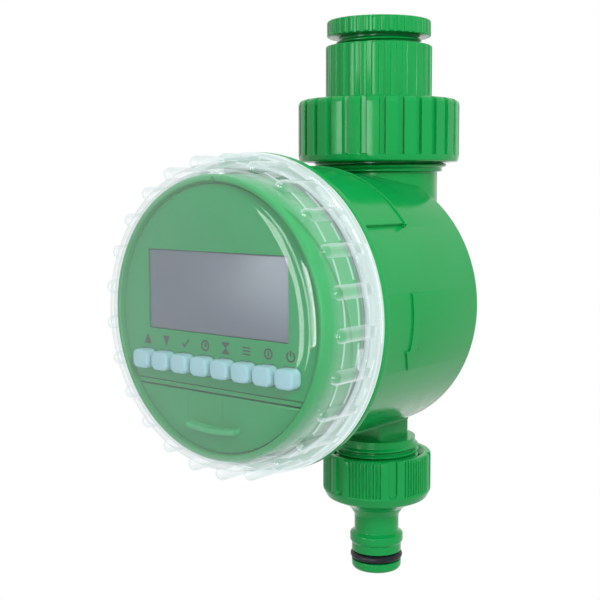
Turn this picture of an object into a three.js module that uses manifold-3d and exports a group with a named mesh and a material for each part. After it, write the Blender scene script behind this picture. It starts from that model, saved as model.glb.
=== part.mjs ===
// Drip irrigation timer: a battery control head on a round housing whose motor turns a ball valve.
//
// Millimetres, +Z up. The water runs down the Z axis, from the tap inlet to the quick-connect nipple.
// Heights are measured up from the nipple's end; the finished group is lowered by OVERALL_HEIGHT, so
// that the origin is the centre of the tap inlet's top face. The control face looks along -Y, and the
// head axis (drum, bezel, cover, valve stem) is parallel to Y at the height HEAD_HEIGHT.

import * as THREE from 'three';
import { mergeVertices } from 'three/addons/utils/BufferGeometryUtils.js';
import Module from 'manifold-3d';

const wasm = await Module();
wasm.setup();

// ---- driving dimensions ---------------------------------------------------------------------

const OVERALL_HEIGHT = 172;
const HEAD_HEIGHT = 87.5;
const GAP = 0.35; // clearance between pieces that touch on the real object
const THREAD_STEPS = 16; // facets in one turn of a thread, shared by its core so that they line up
const HEAD_STEPS = 40; // facets around the drum, the bezel and the cover

// water line, along Z
const BALL_RADIUS = 9;
const WATER_BORE = 5.5;
const BALL_CHAMBER_RADIUS = 10;
const INLET_BORE = 12;
const COLUMN_RADIUS = 18.2;
const INLET_THREAD = { crest: 20.9, core: 19.7, pitch: 2.309, bottom: 126.8, top: 135 };
const GARDEN_THREAD = { crest: 13.2, core: 12.2, pitch: 1.814 }; // three-quarter inch pipe thread
const NECK = { width: 14.8, corner: 1.2, bottom: 43.4, top: 56 };
const SEAT_REACH = 10.4; // from the ball's centre to the far side of a seat
const STEM = { radius: 3.2, seal: -15.9 };
const OUTLET_END = 30.6;

// union nut, sleeve and reducer at the inlet
const NUT = { radius: 24.75, bottom: 129.3, top: 148.2, grooves: 28, grooveDepth: 1, grooveWidth: 1.9 };
const SLEEVE = { radius: 16.3, bottom: 148.55, top: 164.4, flutes: 28, fluteDepth: 0.35 };
const SLEEVE_FLANGE = { radius: 19.7, bottom: 138, top: 141.2 };
const REDUCER = { radius: 15.9, bottom: 167.2, end: 156.4, flutes: 40, fluteDepth: 0.5 };
const TAP_SOCKET = { radius: 10.1, floor: 160 };

// outlet connector
const CONNECTOR = { radius: 17.1, bottom: 25.5, top: 38.5, slots: 6, firstSlot: 23 };
const NIPPLE = { radius: 7.9, neck: 7.05, collar: 8.45, bore: 4.9 };
const O_RING = { height: 4.5, centre: 7.1, section: 1.2 };

// drum, along Y: negative is towards the control face
const DRUM = { radius: 38.8, wall: 2.5, back: -3.6, front: -54.8 };
const RIM = { radius: 43.9, front: -56.85 };
const SADDLE = { radius: 40, back: -30.7, halfAngle: 52 };

// control head and what it carries
const BEZEL = { radius: 38, front: -74.1, back: -58.6, wall: 34.8 };
const PANEL = { radius: 35.9, front: -72.8, thickness: 2 };
const SPIGOT = { radius: 35.9, bore: 34.2, back: -50 };
const SCREEN = { width: 50.4, height: 21.6, centre: 6.65 };
const KEY = { width: 6.2, height: 5.2, corner: 1.4, pitch: 7.5, centre: -12.9, front: -76 };
const KEY_NAMES = ['up', 'down', 'set', 'clock', 'time', 'program', 'on', 'off'];
const BOARD = { radius: 33.5, front: -64, back: -62.4, bottom: -18.8 };
const PILLAR = { radius: 3, orbit: 31.6, angles: [20, 160, -30, 210], back: -9.2 };

// clear cover with its multi-start closing thread
const COVER = { front: -78, radius: 41, bore: 39.6, flange: 43.85, back: -57.2 };
const SHOULDER_END = -70.5;
const GRIP_RIBS = { count: 25, first: 56.2, radius: 1.9, front: -74.1, back: -60.5 };
const COVER_THREAD = { lead: 60, starts: 3, ridge: 38.7, lug: 39, back: -60, width: 1 };
const COVER_THREAD_SWEEP = { ridge: 75, lug: 9 };

// battery drawer
const TRAY = { radius: 35.2, top: -20.3, wall: 1.2 };
const TRAY_BOX = { radius: 33.8, halfWidth: 13, top: -23, back: -22.2 };
const CELL = { radius: 5.25, length: 44.5, x: 5.7, z: -26.3, front: -69.5 };

// gear train, centres measured from the head axis
const GEAR_MODULE = 1;
const TEETH = { output: 30, idlerPinion: 12, idlerWheel: 24, motorPinion: 12 };
const IDLER_CENTRE = [0, GEAR_MODULE * (TEETH.output + TEETH.idlerPinion) / 2];
const MOTOR_REACH = GEAR_MODULE * (TEETH.idlerWheel + TEETH.motorPinion) / 2;
const MOTOR_X = -15;
const MOTOR_CENTRE = [MOTOR_X, IDLER_CENTRE[1] - Math.sqrt(MOTOR_REACH ** 2 - MOTOR_X ** 2)];
const GEAR_LAYER = { rear: [-27, -24], front: [-31.3, -28.3] };
const PLATE = { front: -34.5, back: -32.9 };
const MOTOR = { radius: 10, front: -58, back: -35 };

// ---- colours --------------------------------------------------------------------------------

const COLOURS = {
  green: [0x2fa257, 0.35, 0],
  panelGreen: [0x3f9d66, 0.45, 0],
  clear: [0xd9eef0, 0.08, 0],
  key: [0xbfd6e2, 0.5, 0],
  screen: [0x8b8f9c, 0.15, 0],
  display: [0x74786f, 0.4, 0],
  rubber: [0x2a2632, 0.7, 0],
  silicone: [0xd8e2e4, 0.6, 0],
  nylon: [0xe9e4d4, 0.5, 0],
  seat: [0xf3f3ef, 0.4, 0],
  steel: [0xb8bcc0, 0.35, 1],
  chrome: [0xd6dadd, 0.12, 1],
  brass: [0xc9a45a, 0.35, 1],
  board: [0x1f6b3a, 0.5, 0],
  cell: [0x2b2f36, 0.35, 0],
};

// ---- geometry helpers -----------------------------------------------------------------------

const radians = THREE.MathUtils.degToRad;
const polar = (radius, degrees) => [radius * Math.cos(radians(degrees)), radius * Math.sin(radians(degrees))];

// A closed geometry as a manifold solid with its faces turned outwards.
function solidOf(geometry) {
  const bare = new THREE.BufferGeometry();
  bare.setAttribute('position', geometry.getAttribute('position'));
  bare.setIndex(geometry.index);
  const merged = mergeVertices(bare, 1e-4);
  const points = merged.getAttribute('position').array;
  const source = merged.index.array;
  const corner = (i) => new THREE.Vector3().fromArray(points, 3 * i);
  const triangles = [];
  let volume = 0;
  for (let i = 0; i < source.length; i += 3) {
    const [a, b, c] = [source[i], source[i + 1], source[i + 2]];
    if (a === b || b === c || c === a) continue;
    triangles.push([a, b, c]);
    volume += corner(a).dot(corner(b).cross(corner(c)));
  }
  const outward = triangles.map(([a, b, c]) => (volume < 0 ? [a, c, b] : [a, b, c]));
  return new wasm.Manifold(new wasm.Mesh({
    numProp: 3,
    vertProperties: Float32Array.from(points),
    triVerts: Uint32Array.from(outward.flat()),
  }));
}

function union(first, ...others) {
  return others.reduce((whole, solid) => whole.add(solid), first);
}

function cut(first, ...others) {
  return others.reduce((whole, solid) => whole.subtract(solid), first);
}

// A solid of revolution about Z, from [radius, height] points.
function turnedZ(profile, segments = 28) {
  const points = profile.map(([radius, height]) => new THREE.Vector2(radius, height));
  return solidOf(new THREE.LatheGeometry(points, segments).rotateX(Math.PI / 2));
}

// A solid of revolution about the head axis, from [radius, y] points.
function turnedY(profile, segments = HEAD_STEPS, centre = [0, 0]) {
  const points = profile.map(([radius, y]) => new THREE.Vector2(radius, y));
  const geometry = new THREE.LatheGeometry(points, segments);
  return solidOf(geometry.translate(centre[0], 0, HEAD_HEIGHT + centre[1]));
}

const rodZ = (radius, bottom, top, segments) =>
  turnedZ([[0, bottom], [radius, bottom], [radius, top], [0, top]], segments);
const rodY = (radius, front, back, centre, segments = 16) =>
  turnedY([[0, front], [radius, front], [radius, back], [0, back]], segments, centre);
const ringZ = (outer, inner, bottom, top, segments) =>
  turnedZ([[inner, bottom], [outer, bottom], [outer, top], [inner, top], [inner, bottom]], segments);
const ringY = (outer, inner, front, back, segments = HEAD_STEPS, centre = [0, 0]) =>
  turnedY([[inner, front], [outer, front], [outer, back], [inner, back], [inner, front]], segments, centre);

function shapeOf(points) {
  return new THREE.Shape(points.map(([x, y]) => new THREE.Vector2(x, y)));
}

function prismZ(points, bottom, top) {
  const geometry = new THREE.ExtrudeGeometry(shapeOf(points), { depth: top - bottom, bevelEnabled: false });
  return solidOf(geometry.translate(0, 0, bottom));
}

// A prism along Y whose outline is given as [x, z] points about the head axis.
function prismY(points, front, back) {
  const geometry = new THREE.ExtrudeGeometry(shapeOf(points), { depth: back - front, bevelEnabled: false });
  return solidOf(geometry.rotateX(Math.PI / 2).translate(0, back, HEAD_HEIGHT));
}

// A rectangle with its corners cut off at 45 degrees.
function chamferedRectangle(width, height, corner, centre) {
  const points = [];
  for (let quadrant = 0; quadrant < 4; quadrant++) {
    const [sx, sy] = [[1, 1], [-1, 1], [-1, -1], [1, -1]][quadrant];
    for (const end of [0, 1]) {
      const [x, y] = polar(corner, 90 * (quadrant + end));
      points.push([centre[0] + sx * (width / 2 - corner) + x, centre[1] + sy * (height / 2 - corner) + y]);
    }
  }
  return points;
}

// The part of a disc below a level chord, as [x, z] points, cut off at a half width if one is given.
function segmentOutline(radius, top, halfWidth = radius, steps = 20) {
  const edge = Math.min(halfWidth, Math.sqrt(radius ** 2 - top ** 2));
  const start = -Math.acos(edge / radius);
  const points = edge === halfWidth ? [[-edge, top], [edge, top]] : [];
  for (let i = 0; i <= steps; i++) {
    const angle = start - (i / steps) * (Math.PI + 2 * start);
    points.push([radius * Math.cos(angle), radius * Math.sin(angle)]);
  }
  return points;
}

// An outline of equal lands with a notch between each pair, the first notch at `first` degrees.
function notchedOutline(radius, depth, count, notchDegrees, first = 0) {
  const floorDegrees = 0.8 * notchDegrees;
  const points = [];
  for (let i = 0; i < count; i++) {
    const middle = first + (360 * i) / count;
    points.push(polar(radius - depth, middle - floorDegrees / 2));
    points.push(polar(radius - depth, middle + floorDegrees / 2));
    points.push(polar(radius, middle + notchDegrees / 2));
    points.push(polar(radius, middle + 360 / count - notchDegrees / 2));
  }
  return points;
}

// A ridge swept along a helix: `at(angle)` gives the turn's four [radius, along] corner points.
function sweptRidge(startDegrees, sweepDegrees, steps, at, place) {
  const corners = 4;
  const positions = [];
  for (let i = 0; i <= steps; i++) {
    const share = i / steps;
    const degrees = startDegrees + share * sweepDegrees;
    for (const [radius, along] of at(degrees - startDegrees, share)) {
      positions.push(...place(...polar(radius, degrees), along));
    }
  }
  const index = [];
  for (let i = 0; i < steps; i++) {
    for (let k = 0; k < corners; k++) {
      const [a, b] = [i * corners + k, i * corners + ((k + 1) % corners)];
      index.push(a, b, b + corners, a, b + corners, a + corners);
    }
  }
  const last = steps * corners;
  index.push(0, 2, 1, 0, 3, 2, last, last + 1, last + 2, last, last + 2, last + 3);
  const geometry = new THREE.BufferGeometry();
  geometry.setAttribute('position', new THREE.Float32BufferAttribute(positions, 3));
  geometry.setIndex(index);
  return solidOf(geometry);
}

// The helical ridge of a male pipe thread about Z, over the given turns; it fades out at both ends.
function threadRidge({ crest, core, pitch }, bottom, turns) {
  const root = core - 0.4;
  const steps = Math.floor(THREAD_STEPS * turns);
  return sweptRidge(0, (360 * steps) / THREAD_STEPS, steps, (turned, share) => {
    const height = bottom + pitch / 2 + (pitch * turned) / 360;
    const fade = Math.min(1, share * turns * 2, (1 - share) * turns * 2);
    const reach = root + (crest - root) * (0.3 + 0.7 * fade);
    return [
      [root, height - 0.4 * pitch],
      [reach, height - 0.1 * pitch],
      [reach, height + 0.1 * pitch],
      [root, height + 0.4 * pitch],
    ];
  }, (x, y, z) => [x, y, z]);
}

// One start of the cover's right-hand closing thread: it comes forward as it climbs around the head axis.
function coverRidge(inner, outer, back, startDegrees, sweepDegrees, steps) {
  return sweptRidge(startDegrees, sweepDegrees, steps, (turned) => {
    const rear = back - (COVER_THREAD.lead * turned) / 360;
    const front = rear - COVER_THREAD.width;
    return [[inner, front], [outer, front], [outer, rear], [inner, rear]];
  }, (x, z, y) => [x, y, HEAD_HEIGHT + z]);
}

// ---- gears ----------------------------------------------------------------------------------

// A spur gear outline: stub teeth whose flanks lean in, the first one centred at `phase` degrees.
function gearOutline(teeth, phase, centre) {
  const pitchRadius = (GEAR_MODULE * teeth) / 2;
  const levels = [
    { radius: pitchRadius - 1.05 * GEAR_MODULE, half: 0.85 },
    { radius: pitchRadius + 0.7 * GEAR_MODULE, half: 0.28 },
  ];
  const points = [];
  for (let i = 0; i < teeth; i++) {
    const middle = phase + (360 * i) / teeth;
    const side = ({ radius, half }, sign) => {
      const [x, z] = polar(radius, middle + (sign * half * 180) / (Math.PI * radius));
      points.push([centre[0] + x, centre[1] + z]);
    };
    levels.forEach((level) => side(level, -1));
    [...levels].reverse().forEach((level) => side(level, 1));
  }
  return points;
}

const angleTo = (from, to) => THREE.MathUtils.radToDeg(Math.atan2(to[1] - from[1], to[0] - from[0]));

function outputGear() {
  const [front, back] = GEAR_LAYER.rear;
  const spaceAtIdler = angleTo([0, 0], IDLER_CENTRE) + 180 / TEETH.output;
  const wheel = prismY(gearOutline(TEETH.output, spaceAtIdler, [0, 0]), front, back);
  return cut(wheel, rodY(STEM.radius + GAP, front - 1, back + 1, [0, 0]));
}

function idlerGear() {
  const toothAtOutput = angleTo(IDLER_CENTRE, [0, 0]);
  const toothAtMotor = angleTo(IDLER_CENTRE, MOTOR_CENTRE);
  const pinion = gearOutline(TEETH.idlerPinion, toothAtOutput, IDLER_CENTRE);
  const wheel = gearOutline(TEETH.idlerWheel, toothAtMotor, IDLER_CENTRE);
  return cut(
    union(
      prismY(pinion, GEAR_LAYER.front[0] + 1, GEAR_LAYER.rear[1]),
      prismY(wheel, ...GEAR_LAYER.front),
    ),
    rodY(1.5 + GAP, -40, -20, IDLER_CENTRE),
  );
}

function motorPinion() {
  const spaceAtIdler = angleTo(MOTOR_CENTRE, IDLER_CENTRE) + 180 / TEETH.motorPinion;
  return union(
    prismY(gearOutline(TEETH.motorPinion, spaceAtIdler, MOTOR_CENTRE), ...GEAR_LAYER.front),
    rodY(1, MOTOR.back - 3, GEAR_LAYER.front[0] + 1, MOTOR_CENTRE),
  );
}

// ---- water line -----------------------------------------------------------------------------

function tapReducer() {
  const { radius, bottom, end, flutes, fluteDepth } = REDUCER;
  const ring = union(
    prismZ(notchedOutline(radius, fluteDepth, flutes, 4), bottom, OVERALL_HEIGHT - 0.8),
    rodZ(radius - fluteDepth - 0.1, bottom + 1, OVERALL_HEIGHT),
  );
  const tail = union(
    rodZ(GARDEN_THREAD.core, end, bottom + 1, THREAD_STEPS),
    threadRidge(GARDEN_THREAD, bottom + 0.4 - 3 * GARDEN_THREAD.pitch, 2),
  );
  return cut(
    union(ring, tail),
    rodZ(TAP_SOCKET.radius, TAP_SOCKET.floor, OVERALL_HEIGHT + 1),
    rodZ(7, end - 1, TAP_SOCKET.floor + 1, 24),
  );
}

function tapSleeve() {
  const flange = SLEEVE_FLANGE;
  const notch = 180 / SLEEVE.flutes;
  const outline = notchedOutline(SLEEVE.radius, SLEEVE.fluteDepth, SLEEVE.flutes, notch);
  return cut(
    union(
      prismZ(outline, SLEEVE.bottom, SLEEVE.top),
      rodZ(flange.radius, flange.bottom, flange.top),
      rodZ(15, flange.bottom, SLEEVE.bottom + 1),
    ),
    rodZ(GARDEN_THREAD.crest + GAP, REDUCER.end - 1.4, SLEEVE.top + 1),
    rodZ(10, flange.bottom - 1, SLEEVE.top, 24),
  );
}

function inletNut() {
  const { radius, bottom, top, grooves, grooveDepth, grooveWidth } = NUT;
  const notch = THREE.MathUtils.radToDeg(grooveWidth / radius);
  const outline = notchedOutline(radius, grooveDepth, grooves, notch);
  const shoulder = radius - grooveDepth - 0.1;
  return cut(
    union(
      rodZ(radius, bottom, bottom + 2.1, grooves),
      prismZ(outline, bottom + 2, top - 1.3),
      turnedZ([
        [0, top - 2], [shoulder, top - 2], [shoulder, top - 1.3], [radius - 2.4, top], [0, top],
      ], grooves),
    ),
    rodZ(INLET_THREAD.crest + GAP, bottom - 1, SLEEVE_FLANGE.top + GAP),
    rodZ(15 + GAP, bottom, top + 1),
  );
}

function filterScreen() {
  const flange = { radius: 13.6, bottom: 133.4, top: 134.8 };
  const cup = { radius: 10.8, bottom: 122, wall: 0.9 };
  const shell = turnedZ([
    [0, cup.bottom], [cup.radius - 3, cup.bottom], [cup.radius, flange.bottom], [flange.radius, flange.bottom],
    [flange.radius, flange.top], [cup.radius - cup.wall, flange.top],
    [cup.radius - 3 - cup.wall, cup.bottom + cup.wall], [0, cup.bottom + cup.wall],
  ], 20);
  const slots = Array.from({ length: 4 }, (_, i) => {
    const slot = new THREE.BoxGeometry(30, 3, 7).rotateZ(radians(45 * i)).translate(0, 0, 128.2);
    return solidOf(slot);
  });
  return cut(shell, ...slots);
}

// A valve seat: a ring whose inner edge is cut back to clear the ball. `side` is 1 above it, -1 below.
function valveSeat(side) {
  const at = (rise) => HEAD_HEIGHT + side * rise;
  return turnedZ([
    [6, at(7.3)], [6, at(SEAT_REACH)], [BALL_CHAMBER_RADIUS - GAP, at(SEAT_REACH)],
    [BALL_CHAMBER_RADIUS - GAP, at(4.6)], [8.5, at(4.6)], [6, at(7.3)],
  ], 24);
}

function seatRetainer() {
  const bottom = HEAD_HEIGHT + SEAT_REACH + GAP;
  const ring = ringZ(BALL_CHAMBER_RADIUS - GAP, 6.5, bottom, bottom + 4, 24);
  const keyways = [0, 90].map((degrees) => new THREE.BoxGeometry(2, 30, 3).rotateZ(radians(degrees)));
  return cut(ring, ...keyways.map((keyway) => solidOf(keyway.translate(0, 0, bottom + 4))));
}

function valveBall() {
  const sphere = new THREE.SphereGeometry(BALL_RADIUS, 20, 10).rotateZ(Math.PI / 2);
  const ball = solidOf(sphere.translate(0, 0, HEAD_HEIGHT));
  const bore = new THREE.CylinderGeometry(WATER_BORE, WATER_BORE, 30, 16).rotateZ(Math.PI / 2);
  const slot = new THREE.BoxGeometry(8, 3, 3.1).translate(0, -BALL_RADIUS + 0.4, HEAD_HEIGHT);
  return cut(ball, solidOf(bore.translate(0, 0, HEAD_HEIGHT)), solidOf(slot));
}

function valveStem() {
  const tongue = new THREE.BoxGeometry(5.6, 2.6, 2.4).translate(0, -BALL_RADIUS + 0.1, HEAD_HEIGHT);
  return union(
    turnedY([[0, -31.4], [2, -31.4], [STEM.radius, -30], [STEM.radius, -10.2], [3, -9.4], [0, -9.4]], 16),
    solidOf(tongue),
  );
}

const stemSeal = () => turnedY(circleProfile(4.5, STEM.seal, 0.85, 6), 16);

// A full circle as a lathe profile, for O-rings.
function circleProfile(radius, along, section, steps) {
  const points = [];
  for (let i = 0; i <= steps; i++) {
    const [dr, da] = polar(section, (360 * (i % steps)) / steps);
    points.push([radius + dr, along + da]);
  }
  return points;
}

function outletConnector() {
  const { radius, bottom, top, slots, firstSlot } = CONNECTOR;
  const blank = turnedZ([
    [0, 0], [NIPPLE.radius - 0.8, 0], [NIPPLE.radius, 0.9], [NIPPLE.radius, O_RING.height - 1.5],
    [5.55, O_RING.height - 1.5], [5.55, O_RING.height + 1.5], [NIPPLE.radius, O_RING.height + 1.5],
    [NIPPLE.radius, 8.6], [NIPPLE.collar, 9.2], [NIPPLE.collar, 11.6], [NIPPLE.neck, 12.4], [NIPPLE.neck, 17.6],
    [8, 19.4], [10.2, 21.4], [radius - 1, 23.9], [radius - 1, top], [0, top],
  ]);
  return cut(
    union(blank, prismZ(notchedOutline(radius, 0.9, slots, 8, firstSlot), bottom - 0.6, top - 0.6)),
    rodZ(GARDEN_THREAD.crest + GAP, bottom + 2.1, top + 1),
    rodZ(NIPPLE.bore, -1, bottom + 3, 24),
  );
}

const nippleRing = () => turnedZ(circleProfile(O_RING.centre, O_RING.height, O_RING.section, 6), 24);

// ---- housing --------------------------------------------------------------------------------

// The drum's outside without its hollow: tube, front rim and the raised saddle over its top.
function drumOutside() {
  const { radius, back, front } = DRUM;
  const drum = turnedY([
    [0, back], [radius - 0.8, back], [radius, back - 0.8], [radius, front],
    [RIM.radius, front], [RIM.radius, RIM.front], [0, RIM.front],
  ]);
  return union(drum, saddle(), flowArrow());
}

function saddle() {
  const outline = [[0, 0]];
  const steps = 14;
  for (let i = 0; i <= steps; i++) {
    outline.push(polar(SADDLE.radius, 90 - SADDLE.halfAngle + (2 * SADDLE.halfAngle * i) / steps));
  }
  return prismY(outline, RIM.front + 1, SADDLE.back);
}

// A raised arrow on the drum's right-hand side, which points down the way the water flows.
function flowArrow() {
  const arrow = { y: -36, top: 6.5, neck: -9.5, tip: -15, shaft: 1.6, head: 3.2 };
  const outline = [
    [arrow.y + arrow.shaft, arrow.top], [arrow.y - arrow.shaft, arrow.top], [arrow.y - arrow.shaft, arrow.neck],
    [arrow.y - arrow.head, arrow.neck], [arrow.y, arrow.tip], [arrow.y + arrow.head, arrow.neck],
    [arrow.y + arrow.shaft, arrow.neck],
  ];
  const geometry = new THREE.ExtrudeGeometry(shapeOf(outline), { depth: 8, bevelEnabled: false });
  geometry.rotateX(Math.PI / 2).rotateZ(Math.PI / 2).translate(DRUM.radius - 6, 0, HEAD_HEIGHT);
  const slab = solidOf(geometry);
  const skin = rodY(DRUM.radius + 0.4, DRUM.front, DRUM.back, [0, 0], HEAD_STEPS);
  return slab.intersect(skin);
}

// The upright valve body's outside: inlet neck, ball chamber and outlet neck, wider by `extra` all round.
function columnOutside(extra) {
  const wide = (radius) => radius + extra;
  const across = NECK.width + 2 * extra;
  const foot = NECK.bottom - 0.6 - extra;
  return union(
    turnedZ([
      [0, foot], [across / 2, foot], [across / 2, NECK.top],
      [wide(13.8), 72], [wide(14.6), 84], [wide(COLUMN_RADIUS), 100], [wide(COLUMN_RADIUS), 126.4], [0, 126.4],
    ], 2 * THREAD_STEPS),
    prismZ(chamferedRectangle(across, across, NECK.corner, [0, 0]), NECK.bottom - extra, 54 + extra),
  );
}

// The valve body, with its two threads and the bosses for the valve stem and the idler's pin.
function valveBody() {
  const { core, top, bottom } = INLET_THREAD;
  const stemBoss = rodY(7, -21.5, -12, [0, 0]);
  const pinBoss = rodY(3.2, -22.6, -12, IDLER_CENTRE);
  return cut(
    union(
      columnOutside(0),
      rodZ(core, bottom - 0.8, top + 0.5, 2 * THREAD_STEPS),
      threadRidge(INLET_THREAD, bottom - 0.6, 2.5),
      rodZ(GARDEN_THREAD.core, OUTLET_END, NECK.bottom - 0.2, THREAD_STEPS),
      threadRidge(GARDEN_THREAD, 43.8 - 3.5 * GARDEN_THREAD.pitch, 2.5),
      stemBoss,
      pinBoss,
    ),
    rodZ(14.1, 133, 137, 32),
    rodZ(INLET_BORE, HEAD_HEIGHT + 16, 134, 24),
    rodZ(BALL_CHAMBER_RADIUS + 0.1, HEAD_HEIGHT - SEAT_REACH - GAP, HEAD_HEIGHT + 17, 24),
    rodZ(WATER_BORE, OUTLET_END - 1, HEAD_HEIGHT, 24),
    rodY(STEM.radius + GAP, -23, -5, [0, 0]),
    rodY(5.7, STEM.seal - 1.4, STEM.seal + 1.4, [0, 0]),
    rodY(1.5 + GAP, -23, -19.6, IDLER_CENTRE),
  );
}

// The flat pad under the drum, in front of the outlet neck.
const outletPad = () => solidOf(new THREE.BoxGeometry(18.6, 34, 4).translate(0, -11.5, 50.7));

function housing() {
  const inside = DRUM.radius - DRUM.wall;
  const hollow = rodY(inside, RIM.front - 1, DRUM.back - DRUM.wall, [0, 0], HEAD_STEPS);
  const bosses = PILLAR.angles.map((degrees) => rodY(4.2, -8.8, DRUM.back - 1, polar(PILLAR.orbit, degrees)));
  const posts = gearPosts().map((centre) => rodY(2.6, PLATE.back + GAP, DRUM.back - 1, centre, 12));
  const screwHoles = PILLAR.angles.flatMap((degrees) => [
    rodY(1.9, -10, 0, polar(PILLAR.orbit, degrees), 10),
    rodY(3.5, -6, 0, polar(PILLAR.orbit, degrees), 16),
  ]);
  const postHoles = gearPosts().map((centre) => rodY(1.3, PLATE.back - 1, -22, centre, 8));
  const neckWay = rodZ(INLET_THREAD.crest + GAP, INLET_THREAD.bottom - 1.2, 130, 2 * THREAD_STEPS);
  const shell = cut(union(drumOutside(), outletPad()), hollow, columnOutside(GAP), neckWay);
  return cut(union(shell, ...bosses, ...posts), ...screwHoles, ...postHoles);
}

const gearPosts = () => [[20.5, 2.5], [-24.5, -7], [-21, 23]];

function gearboxPlate() {
  const reach = 4.4;
  const corners = [...gearPosts(), [17, 20]];
  const outline = [corners[1], [0, -5], corners[0], corners[3], [0, 27], corners[2]];
  const plate = prismY(outline, PLATE.front, PLATE.back);
  const pads = gearPosts().map((centre) => rodY(reach, PLATE.front, PLATE.back, centre));
  const holes = gearPosts().map((centre) => rodY(1.8, PLATE.front - 1, PLATE.back + 1, centre, 10));
  return cut(
    union(plate, ...pads),
    ...holes,
    rodY(1 + GAP + 0.6, PLATE.front - 1, PLATE.back + 1, MOTOR_CENTRE),
    rodY(1.5 + GAP, PLATE.front - 1, PLATE.back + 1, IDLER_CENTRE),
  );
}

// A pan-head screw along Y about an [x, z] centre: its head's outer face, its seat and its point.
function screw(centre, headRadius, shankRadius, headFace, seat, point) {
  return union(
    rodY(headRadius, Math.min(headFace, seat), Math.max(headFace, seat), centre, 12),
    rodY(shankRadius, Math.min(headFace, point), Math.max(headFace, point), centre, 8),
  );
}

function valveMotor() {
  return cut(
    union(
      turnedY([[0, MOTOR.front], [MOTOR.radius - 1, MOTOR.front], [MOTOR.radius, MOTOR.front + 1],
        [MOTOR.radius, MOTOR.back], [0, MOTOR.back]], 28, MOTOR_CENTRE),
      ringY(3, 2, MOTOR.front - 1.2, MOTOR.front + 1, 12, MOTOR_CENTRE),
    ),
    rodY(1 + GAP, MOTOR.back - 4, MOTOR.back + 1, MOTOR_CENTRE),
  );
}

// ---- control head ---------------------------------------------------------------------------

const keyCentre = (i) => [(i - (KEY_NAMES.length - 1) / 2) * KEY.pitch, KEY.centre];
const screenOutline = (extra) =>
  chamferedRectangle(SCREEN.width + extra, SCREEN.height + extra, 0.5, [0, SCREEN.centre]);
const boardBosses = [[30.4, -2.5], [-30.4, -2.5], [14, 26.8], [-14, 26.8]];

function controlHead() {
  const { front, thickness } = PANEL;
  const shell = turnedY([
    [0, front], [PANEL.radius, front], [36.4, BEZEL.front], [36.8, BEZEL.front],
    [BEZEL.radius, BEZEL.front + 1.6],
    [BEZEL.radius, BEZEL.back], [SPIGOT.radius, BEZEL.back], [SPIGOT.radius, SPIGOT.back],
    [SPIGOT.bore, SPIGOT.back], [SPIGOT.bore, BEZEL.back], [BEZEL.wall, BEZEL.back - 1],
    [BEZEL.wall, front + thickness], [0, front + thickness],
  ]);
  const bosses = boardBosses.map((centre) => rodY(2.3, front + 1, BOARD.front - GAP, centre, 10));
  const bossHoles = boardBosses.map((centre) => rodY(1.25, front + thickness + 0.5, BOARD.front, centre, 8));
  const pillars = PILLAR.angles.map((degrees) =>
    rodY(PILLAR.radius, -56, PILLAR.back, polar(PILLAR.orbit, degrees), 12));
  const pillarHoles = PILLAR.angles.map((degrees) =>
    rodY(1.95, -24, PILLAR.back + 1, polar(PILLAR.orbit, degrees), 8));
  const keyHoles = KEY_NAMES.map((_, i) => prismY(keyOutline(i, 0.6), front - 1, front + 3));
  const notch = chamferedRectangle(1.8, 2.6, 0.5, [1, 36.6]);
  const ridges = coverStarts().map((start) => coverRidge(
    BEZEL.radius - 0.5, COVER_THREAD.ridge, COVER_THREAD.back, start, COVER_THREAD_SWEEP.ridge, 8));
  return cut(
    union(shell, ...bosses, ...pillars, ...ridges),
    ...bossHoles,
    ...pillarHoles,
    ...keyHoles,
    prismY(screenOutline(0.7), front - 1, front + 3),
    prismY(segmentOutline(TRAY.radius + GAP, TRAY.top + GAP), front - 0.3, front + thickness + 1),
    prismY(notch, BEZEL.front - 1, BEZEL.front + 1.2),
  );
}

const coverStarts = () =>
  Array.from({ length: COVER_THREAD.starts }, (_, i) => 100 + (360 * i) / COVER_THREAD.starts);

const keyOutline = (i, extra) =>
  chamferedRectangle(KEY.width + extra, KEY.height + extra, KEY.corner, keyCentre(i));

function key(i) {
  const panelBack = PANEL.front + PANEL.thickness;
  return union(
    prismY(keyOutline(i, -0.8), KEY.front, KEY.front + 0.5),
    prismY(keyOutline(i, 0), KEY.front + 0.4, panelBack + 0.5),
    prismY(keyOutline(i, 1), panelBack + GAP, panelBack + 1.2),
  );
}

function circuitBoard() {
  const disc = rodY(BOARD.radius, BOARD.front, BOARD.back, [0, 0], 40);
  const holes = boardBosses.map((centre) => rodY(1.4, BOARD.front - 1, BOARD.back + 1, centre, 8));
  const chip = chamferedRectangle(14, 9, 0.5, [-3, 8]);
  const below = segmentOutline(BOARD.radius + 1, BOARD.bottom);
  const bare = cut(disc, ...holes, prismY(below, BOARD.front - 1, BOARD.back + 1));
  return union(
    bare,
    prismY(chip, BOARD.back - 0.5, BOARD.back + 1.6),
    ...KEY_NAMES.flatMap((_, i) => pressSwitch(keyCentre(i))),
  );
}

// The press switch that stands on the board behind one key.
const pressSwitch = (centre) => [
  prismY(chamferedRectangle(5, 5, 0.4, centre), -66.4, BOARD.front + 0.5),
  rodY(1.4, -68, -66, centre, 6),
];

// ---- cover ----------------------------------------------------------------------------------

// The cover's rounded shoulder, from its flat face to its skirt: a quarter of an ellipse.
const shoulder = (radius, across, deep) => [0, 30, 55, 75, 90].map((degrees) => {
  const angle = radians(degrees);
  return [radius - across * (1 - Math.sin(angle)), SHOULDER_END - deep * Math.cos(angle)];
});

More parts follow.
